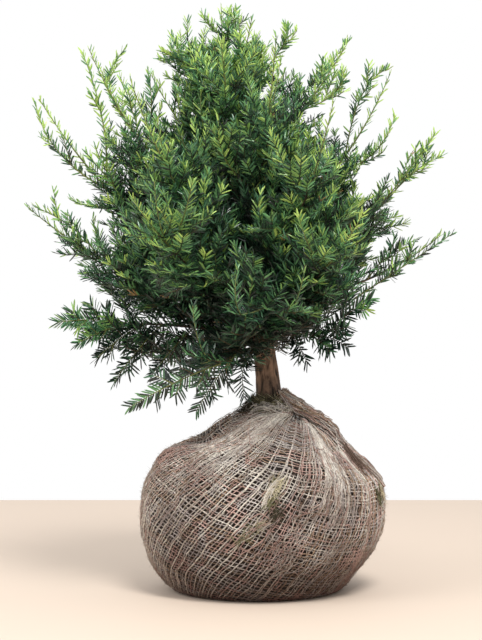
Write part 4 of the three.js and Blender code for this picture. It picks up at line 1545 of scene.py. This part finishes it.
def drawn_threads():
    """Fine pulled fibres that lie loose along the pale folds, and the bare rungs of the worn patch."""
    yarn = Yarn(77)
    rng = yarn.rng
    for i in range(DRAWN["count"]):
        middle, width = PALE_RIDGES[i % 2]
        turn = math.radians(middle + rng.normal(0, DRAWN["spread"]) * width)
        first, last = (math.radians(rng.uniform(*DRAWN[end])) for end in ("first", "last"))
        apart = np.linspace(first, last, DRAWN["points"])
        sway = wave(rng, apart, *DRAWN["curl"]) / CLOTH["radius"]
        sway = sway + wave(rng, apart, *DRAWN["bend"]) / CLOTH["radius"]
        ways = cloth_way(apart, turn + sway / np.maximum(np.sin(apart), 0.08))
        pile = DRAWN["lift"] + rng.uniform(0, DRAWN["pile"]) * (1 - ramp(apart, 0.1, 0.8))
        pile = pile + rng.uniform(0, 1.0)
        thick, crest = rng.uniform(*DRAWN["thick"]), rng.uniform(*DRAWN["clean"])
        yarn.add(cloth_skin(ways, pile), thick, crest, BLEACHED if i % 5 else GREY)
    share = np.linspace(0, 1, 18)
    for k in range(LADDER["rungs"]):
        rung = mix(LADDER["first"], LADDER["last"], k / (LADDER["rungs"] - 1)) + rng.normal(0, 0.5)
        sag = np.radians(LADDER["sag"] * np.sin(share * math.pi) + 0.5 * np.sin(share * 9 + k))
        ways = cloth_way(np.radians(rung) + sag, np.radians(mix(LADDER["left"], LADDER["right"], share)))
        yarn.add(cloth_skin(ways, LADDER["lift"]), rng.uniform(0.6, 0.85), rng.uniform(0.6, 0.9))
    return yarn


def matted_threads():
    """Loose fibres that lie every way over the weave, thickest near the gather and along the pale folds."""
    yarn = Yarn(91)
    rng = yarn.rng
    for i in range(MATTED["count"]):
        if i % 3 == 0:
            turn = math.radians(rng.uniform(-180, 180))
            apart = math.radians(130 * rng.random() ** 0.8 + 3)
        else:
            middle, width = PALE_RIDGES[i % 2]
            turn = math.radians(middle + rng.normal(0, MATTED["spread"]) * width)
            apart = math.radians(rng.uniform(*MATTED["apart"]))
        length = rng.uniform(*MATTED["length"])
        heading = rng.normal(0, MATTED["heading"])
        walk = np.linspace(-0.5, 0.5, MATTED["points"]) * length
        sway = wave(rng, walk, *MATTED["wave"])
        down = (walk * math.cos(heading) - sway * math.sin(heading)) / CLOTH["radius"]
        round_it = (walk * math.sin(heading) + sway * math.cos(heading)) / CLOTH["radius"]
        ways = cloth_way(apart + down, turn + round_it / max(math.sin(apart), 0.15))
        places = cloth_skin(ways, 2.0 + rng.uniform(0, 1.6) + 0.5 * np.sin(walk * 0.3))
        if not off_the_neck(places).all() or places[:, 2].min() < MATTED["low"]:
            continue
        # Darker towards the bottom of the ball.
        crest = rng.uniform(*MATTED["clean"]) * mix(0.3, 1, ramp(places[:, 2], 0, 110))
        yarn.add(places, rng.uniform(*MATTED["thick"]), crest)
    return yarn


def loose_threads(yarn):
    """The dark threads of painted shade in the crease along the ball's right side, the cloth's pale edge
    below it and the straws on the front.
    """
    rng = yarn.rng
    for route, count, spread, tone, crest in LOOSE:
        line = smooth_line(route, LOOSE_STEPS)
        for _ in range(count):
            apart = rng.normal(0, spread, 2)
            curl = np.sin(np.linspace(0, rng.uniform(4, 14), LOOSE_STEPS) + rng.uniform(0, 6))[:, None] * 0.7
            first, last = rng.integers(0, 26), LOOSE_STEPS - rng.integers(0, 26)
            if last - first < 8:
                continue
            spots = (line + apart + curl)[first:last]
            lift = 2.0 + (1.2 if tone == BROWN else 0.0) + rng.uniform(0, 2.6)
            places = cloth_skin(way_to_front(*spots.T), lift)
            yarn.add(places, rng.uniform(0.5, 0.9), rng.uniform(*crest), tone)


def snagged_threads():
    """A snag low on the front, where loosened threads come together."""
    yarn = Yarn(88)
    rng = yarn.rng
    steps = SNAG["steps"]
    upper, lower = (smooth_line(SNAG[key], steps) for key in ("upper", "lower"))
    for k in range(SNAG["threads"]):
        line = mix(upper, lower, k / (SNAG["threads"] - 1) + 0.06 * rng.normal())
        curl = rng.uniform(1.0, 3.0, 2) * np.sin(np.linspace(0, rng.uniform(3, 8), steps) + 3 * k)[:, None]
        line, first = line + curl, rng.integers(0, 9)
        places = cloth_skin(way_to_front(*line[first:].T), 2.0 + 1.2 * np.linspace(0, 1, steps)[first:])
        tones = (BLEACHED, BLEACHED, PINK)
        yarn.add(places, rng.uniform(0.6, 0.95), rng.uniform(0.8, 1.0), rng.choice(tones))
    loose_threads(yarn)
    return yarn


def band_threads(yarn, route, wide, high, threads, turns, crest=(0.5, 1.0)):
    """Threads that run along a flattened, slightly twisted band of cloth, round a dark core that is painted
    shade between the threads.
    """
    rng = yarn.rng
    share = np.linspace(0, 1, len(route))
    along = unit(np.gradient(route, axis=0))
    out = unit(route - BALL_MIDDLE)
    side = unit(np.cross(along, out))
    up = np.cross(side, along)
    # The dark core: painted shade seen between the threads.
    yarn.add(route, high * 0.7, 0.3, BROWN)
    for t in range(threads):
        spin = 2 * math.pi * (t / threads + turns * share) + 0.2 * np.sin(7 * share + t)
        loose = 1 + rng.normal(0, 0.13) + 0.12 * np.sin(share * rng.uniform(8, 30) + rng.uniform(0, 6))
        across = side * (wide * loose * np.cos(spin))[:, None]
        place = route + across + up * (high * loose * np.sin(spin))[:, None]
        ends = slice(rng.integers(0, 6), len(route) - rng.integers(0, 8))
        tones = (BLEACHED, GREY, PINK, BROWN)
        yarn.add(place[ends], rng.uniform(0.55, 0.95), rng.uniform(*crest), rng.choice(tones))
    return side, up


def frayed_threads(yarn, route, side, up, wide, count):
    """Loose ends that stand off a band of cloth, over its top and its front."""
    rng = yarn.rng
    for _ in range(count):
        first = rng.integers(0, len(route) - 30)
        spot = slice(first, first + rng.integers(8, 28))
        share = np.linspace(0, 1, spot.stop - spot.start)
        spin = math.radians(rng.uniform(-30, 210)) + rng.uniform(-1.1, 1.1) * share
        loose = rng.uniform(0.95, 1.2) + rng.uniform(0, 0.4) * share
        loose = loose + 0.08 * np.sin(share * rng.uniform(4, 16))
        across = side[spot] * (wide[spot] * loose * np.cos(spin))[:, None]
        rise = up[spot] * (0.74 * wide[spot] * loose * np.sin(spin))[:, None]
        yarn.add(route[spot] + across + rise, rng.uniform(0.3, 0.62), rng.uniform(0.5, 1.0))


def round_foot(radius, turn, height):
    """Points at a radius round the middle of the trunk's foot."""
    x, y, _ = trunk_at(BALL["top"])
    return np.stack([x + radius * np.cos(turn), y + radius * np.sin(turn), height], -1)


def roll_route(steps):
    """From the trunk's right foot over the neck and down the ball's right shoulder."""
    heights = np.array(ROLL["heights"], float)
    way = unit(ball_point(heights, np.full(len(heights), math.radians(ROLL["bearing"]))) - BALL_MIDDLE)
    return smooth_line([*ROLL_START, *cloth_skin(way, ROLL["lift"])], steps)


def smooth_line(points, steps):
    """A smooth line of evenly spaced points through the given ones."""
    points = np.array(points, float)
    for _ in range(4):
        middles = (points[:-1] + points[1:]) / 2
        quarters = np.stack([(points[:-1] + middles) / 2, (middles + points[1:]) / 2], 1)
        points = np.concatenate([points[:1], quarters.reshape(-1, points.shape[1]), points[-1:]])
    walked = np.concatenate([[0], np.cumsum(np.linalg.norm(np.diff(points, axis=0), axis=1))])
    stops = np.linspace(0, walked[-1], steps)
    return np.stack([np.interp(stops, walked, points[:, i]) for i in range(points.shape[1])], 1)


def make_roll(yarn):
    """The roll of twisted cloth from beside the trunk down the ball's right shoulder."""
    steps = ROLL["steps"]
    share = np.linspace(0, 1, steps)
    route = roll_route(steps)
    wide = np.interp(share, np.linspace(0, 1, len(ROLL["wide"])), ROLL["wide"])
    wide = wide * (1 + 0.14 * np.sin(share * 17) + 0.1 * np.sin(share * 41 + 1) + 0.05 * np.sin(share * 83))
    high = ROLL["flat"] * wide
    side, up = band_threads(yarn, route, wide, high, ROLL["threads"], ROLL["turns"], ROLL["clean"])
    frayed_threads(yarn, route, side, up, wide, ROLL["frayed"])


def make_tie(tubes):
    """The roll of cloth beside the trunk, the cord-like rings round its foot and the two pulled corners."""
    yarn = Yarn(55)
    make_roll(yarn)
    for radius, height, tilt, bearing, thick in NECK_RINGS:
        turn = np.linspace(0, 2 * math.pi * RING["wound"], RING["steps"]) + bearing
        wobble = radius * (1 + 0.05 * np.sin(3 * turn + bearing) + 0.03 * np.sin(8 * turn))
        ring = round_foot(wobble, turn, height + tilt * np.cos(turn - bearing) + 1.2 * np.sin(5 * turn))
        lumpy = thick * (1 + 0.2 * np.sin(np.linspace(0, 26, RING["steps"])))
        band_threads(yarn, ring, lumpy, RING["flat"] * lumpy, RING["threads"], RING["turns"])
    for turn, _ in PALE_RIDGES:
        steps = CORNER["steps"]
        apart = np.linspace(math.radians(CORNER["first"]), math.radians(CORNER["last"]), steps)
        corner = cloth_skin(cloth_way(apart, np.full(steps, math.radians(turn))), CORNER["lift"])
        slim = CORNER["thick"] * (1 - 0.5 * np.linspace(0, 1, steps))
        band_threads(yarn, corner, slim, CORNER["flat"] * slim, CORNER["threads"], CORNER["turns"])
    finish_piece(yarn.spin("burlap_roll", tubes), "burlap_tie", "burlap_tie")


def ways_to_grid(heights, sides):
    """The ways to a grid of points on the ball, row by row."""
    bearings = np.linspace(0, 2 * math.pi, sides, endpoint=False)
    high, wide = np.meshgrid(heights, bearings, indexing="ij")
    return unit(ball_point(high.ravel(), wide.ravel()) - BALL_MIDDLE)


def make_earth(material):
    """The ball of loam under the cloth, with crumbs and the hollows between the folds."""
    rows, sides = 130, 256
    ways = ways_to_grid(0.5 * BALL["top"] * (1 - np.cos(np.linspace(0, math.pi, rows))), sides)
    places = cloth_skin(ways, relief(on_ball(ways), CRUMBS) - LOAM_DEPTH)
    places[:, 2] = np.maximum(places[:, 2], 2.2 * CLOTH["low"])
    mesh = grid_mesh("loam_ball", places.reshape(rows, sides, 3), capped=True)
    finish_piece(put("loam_ball", mesh, [material]), "burlap", "root_ball")


def make_cloth(tubes):
    for half in (0, 1):
        finish_piece(long_threads(half).spin(f"burlap_warp_{half + 1}", tubes), "burlap", "root_ball")
        finish_piece(cross_threads(half).spin(f"burlap_weft_{half + 1}", tubes), "burlap", "root_ball")
    finish_piece(drawn_threads().spin("drawn_threads", tubes), "burlap")
    finish_piece(matted_threads().spin("matted_threads", tubes), "burlap")
    finish_piece(snagged_threads().spin("snagged_threads", tubes), "burlap")


# Loose stuff on the cloth: place on the front (x, height), spread in mm, blades, finish, lean to the right.
# The humus blades are dark moss and painted shade: beside the trunk's foot and in the hollow below the moss
# on the front.
TUFTS = [
    ((2, 262), (14, 4), 60, "humus", 1.4),
    ((16, 258), (16, 6), 90, "moss", 1.2),
    ((34, 257), (16, 6), 80, "straw", 1.5),
    ((-18, 258), (16, 6), 60, "humus", -1.2),
    ((25, 162), (10, 15), 60, "straw", 0.5),
    ((16, 144), (8, 12), 46, "moss", 0.6),
    ((22, 170), (8, 10), 24, "moss", 0.2),
    ((-12, 100), (16, 12), 46, "moss", 0.9),
    ((0, 112), (12, 9), 22, "straw", 0.9),
    ((27, 128), (10, 12), 70, "humus", 0.1),
    ((172, 138), (6, 12), 80, "moss", -0.6),
    ((174, 148), (6, 10), 50, "straw", -0.6),
]
# Litter round the trunk's foot: bearing in degrees, finish and blades. The humus blades, most on the left and
# the front, are partly dark moss and partly painted shade.
NECK_LITTER = [
    (180, "humus", 190), (215, "humus", 240), (240, "humus", 170), (250, "moss", 90), (275, "moss", 110),
    (268, "straw", 50), (292, "straw", 80), (312, "straw", 50), (300, "humus", 80), (60, "humus", 90),
    (120, "humus", 110), (150, "moss", 50),
]
LITTER = dict(away=28.0, rise=5.0, spread=(15.0, 9.0), lean=1.5)
TUFT_BLADE = dict(Length=0.013, Width=0.0012, Thickness=0.0007)  # metres
FUZZ = dict(Density=26000.0, Length=0.0075, Width=0.0004, Seed=3)  # fibres a square metre, and metres


def tuft_points(rng, places, out, spread, count, lean):
    """Scattered points on a patch of cloth, each with a direction lying mostly along it."""
    side = unit(np.cross(out, UP))
    up = np.cross(side, out)
    jitter = rng.normal(0, 0.5, (count, 2)) * spread
    slide = jitter[:, :1] + lean * jitter[:, 1:]
    spots = places - side * slide + up * jitter[:, 1:] + out * rng.uniform(0.6, 3.0, (count, 1))
    way = up * rng.normal(1, 0.5, (count, 1)) - side * (lean + rng.normal(0, 1.0, (count, 1)))
    return spots, unit(way * rng.choice((-1, 1), (count, 1)) + out * rng.uniform(0.0, 0.5, (count, 1)))


def litter_finishes():
    return {
        "straw": plain_finish("dry_straw", (216, 206, 172)),
        "moss": plain_finish("green_moss", (130, 128, 92)),
        # Dark moss, which also serves as painted shade.
        "humus": plain_finish("dark_moss", (66, 60, 42)),
    }


def make_tufts(blade):
    """Straw and moss caught in the cloth, humus blades that are dark moss and painted shade, and the litter
    round the trunk's foot.
    """
    rng = np.random.default_rng(63)
    finishes = litter_finishes()
    found = {kind: [] for kind in finishes}
    for (x, height), spread, count, kind, lean in TUFTS:
        way = way_to_front(x, height)
        found[kind].append(tuft_points(rng, cloth_skin(way)[0], way[0], np.array(spread, float), count, lean))
    seat = trunk_at(BALL["top"])
    for bearing, kind, count in NECK_LITTER:
        away = np.array([math.cos(math.radians(bearing)), math.sin(math.radians(bearing)), 0.0])
        at = seat + away * LITTER["away"] + UP * LITTER["rise"]
        lean = rng.uniform(-LITTER["lean"], LITTER["lean"])
        out = unit(away + 0.8 * UP)
        found[kind].append(tuft_points(rng, at, out, np.array(LITTER["spread"]), count, lean))
    for kind, lots in found.items():
        places, way = (np.concatenate(v) for v in zip(*lots))
        flat = rng.normal(0, 1, places.shape)
        mesh = point_mesh(kind, places, way=way, flat=flat, size=rng.uniform(0.5, 1.5, len(places)))
        tree = blade_tree(f"{kind}_blades", [finishes[kind]])
        finish_piece(grow(f"tuft_{kind}", mesh, tree, Blade=blade, **TUFT_BLADE), "burlap")


NEST = dict(threads=150, straws=84, steps=16)


def nest_threads():
    """A tangle of loose jute and roots round the foot of the trunk, with straws over it in front."""
    yarn = Yarn(66)
    rng = yarn.rng
    steps, top = NEST["steps"], BALL["top"]
    share = np.linspace(0, 1, steps)
    for _ in range(NEST["threads"]):
        turn = rng.uniform(0, 2 * math.pi) + np.linspace(0, rng.uniform(0.4, 1.3), steps)
        radius = rng.uniform(24, 36) + rng.uniform(-5, 9) * share + 1.5 * np.sin(turn * 9)
        height = top + rng.uniform(-4, 5) - 0.55 * np.maximum(radius - 27, 0)
        height = height + rng.uniform(0, 4) * np.sin(np.linspace(0, math.pi, steps))
        yarn.add(round_foot(radius, turn, height), rng.uniform(0.4, 0.8), rng.uniform(0.0, 0.8))
    for _ in range(NEST["straws"]):
        turn = math.radians(rng.uniform(225, 325)) + share * rng.uniform(-0.9, 0.9)
        radius = rng.uniform(26, 46) + rng.uniform(-8, 12) * share + 2 * np.sin(share * rng.uniform(3, 9))
        height = top + rng.uniform(-1, 4) - 0.5 * np.maximum(radius - 27, 0)
        height = height + 4 + rng.uniform(1, 6) * np.sin(share * math.pi)
        thick, crest = rng.uniform(0.5, 0.85), rng.uniform(0.8, 1.0)
        yarn.add(round_foot(radius, turn, height), thick, crest, rng.choice((BLEACHED, BLEACHED, GREY)))
    return yarn


def make_fuzz(blade, material):
    """Stray jute fibres all over the cloth."""
    rows, sides = 60, 120
    ways = ways_to_grid(mix(10.0, BALL["top"] - 2, np.linspace(0, 1, rows)), sides)
    ground = grid_mesh("fuzz_ground", cloth_skin(ways, 1.2).reshape(rows, sides, 3))
    tree = fibre_tree("stray_fibres", [material])
    finish_piece(grow("stray_fibres", ground, tree, Blade=blade, **FUZZ), "burlap")


def dress_cloth():
    jute = [burlap_finish(name, *colours) for name, colours in JUTE_COLOURS.items()]
    tubes = tube_tree("jute_threads", jute)
    make_cloth(tubes)
    make_tie(tubes)
    finish_piece(nest_threads().spin("neck_tangle", tubes), "burlap")
    fibre = put("fibre_blade", fibre_shape())
    make_fuzz(fibre, plain_finish("jute_fibre", (186, 172, 156)))
    make_tufts(fibre)
    bpy.data.objects.remove(fibre)


# ------------------------------------------------------------------ studio
FLOOR = dict(side=4.0, far=1.26)  # metres from the plant


def make_floor():
    """A plain pale floor, its far edge a little way behind the plant."""
    material = Finish("pale_floor", (214, 197, 181), 0.7).material
    side, far = FLOOR["side"], FLOOR["far"]
    corners = [(-side, -side, 0), (side, -side, 0), (side, far, 0), (-side, far, 0)]
    put("floor", face_mesh("floor", corners, [(0, 1, 2, 3)]), [material])


LAMPS = dict(
    key=dict(place=(0.6, -1.8, 2.8), size=1.1, power=82, colour=(1.0, 0.985, 0.96)),
    fill=dict(place=(-1.9, -1.3, 1.5), size=1.6, power=22, colour=(1, 1, 1)),
)


def area_light(name, place, target, size, power, colour):
    light = bpy.data.lights.new(name, "AREA")
    light.shape, light.size, light.energy, light.color = "DISK", size, power, colour
    lamp = bpy.data.objects.new(name, light)
    lamp.location = place
    lamp.rotation_euler = (Vector(target) - Vector(place)).to_track_quat("-Z", "Y").to_euler()
    bpy.context.scene.collection.objects.link(lamp)


def light_studio():
    """A white room: soft light from above, less from the floor, a soft lamp high in front and a weak one."""
    world = bpy.data.worlds.new("studio")
    world.use_nodes = True
    room = Nodes(world.node_tree)
    place = room.node("ShaderNodeTexCoord").outputs["Generated"]
    up = room.node("ShaderNodeSeparateXYZ", _0=place).outputs["Z"]
    light = room.node("ShaderNodeMapRange", Value=up, From_Min=-0.3, From_Max=1.0, To_Min=0.25, To_Max=1.15)
    seen = room.node("ShaderNodeLightPath").outputs["Is Camera Ray"]
    strength = room.node("ShaderNodeMix", _0=seen, _2=light.outputs[0], _3=1.0).outputs[0]
    sky = room.tree.nodes["Background"]
    room.feed(sky.inputs["Color"], (1, 1, 1, 1))
    room.feed(sky.inputs["Strength"], strength)
    bpy.context.scene.world = world
    for name, lamp in LAMPS.items():
        area_light(name, target=(0, 0, 0.45), **lamp)
    bpy.context.scene.view_settings.view_transform = "Standard"


def aim_camera():
    """A level camera at the height of the crown's foot, shifted so that the plant sits off the middle."""
    camera = bpy.data.objects.new("camera", bpy.data.cameras.new("camera"))
    long_side = max(CAMERA["frame_px"])
    camera.data.lens = CAMERA["focal_px"] / long_side * camera.data.sensor_width
    camera.data.shift_x = (CAMERA["frame_px"][0] / 2 - CAMERA["centre_px"][0]) / long_side
    camera.data.shift_y = (CAMERA["centre_px"][1] - CAMERA["frame_px"][1] / 2) / long_side
    camera.location = (0, -CAMERA["distance"] * MM, CAMERA["height"] * MM)
    camera.rotation_euler = (math.radians(90), 0, 0)
    bpy.context.scene.collection.objects.link(camera)
    bpy.context.scene.camera = camera


# ------------------------------------------------------------------ the whole plant
limbs = all_limbs()
dress_crown(limbs)
make_bark(limbs, bark_finish())
make_earth(earth_finish())
dress_cloth()
make_floor()
light_studio()
aim_camera()
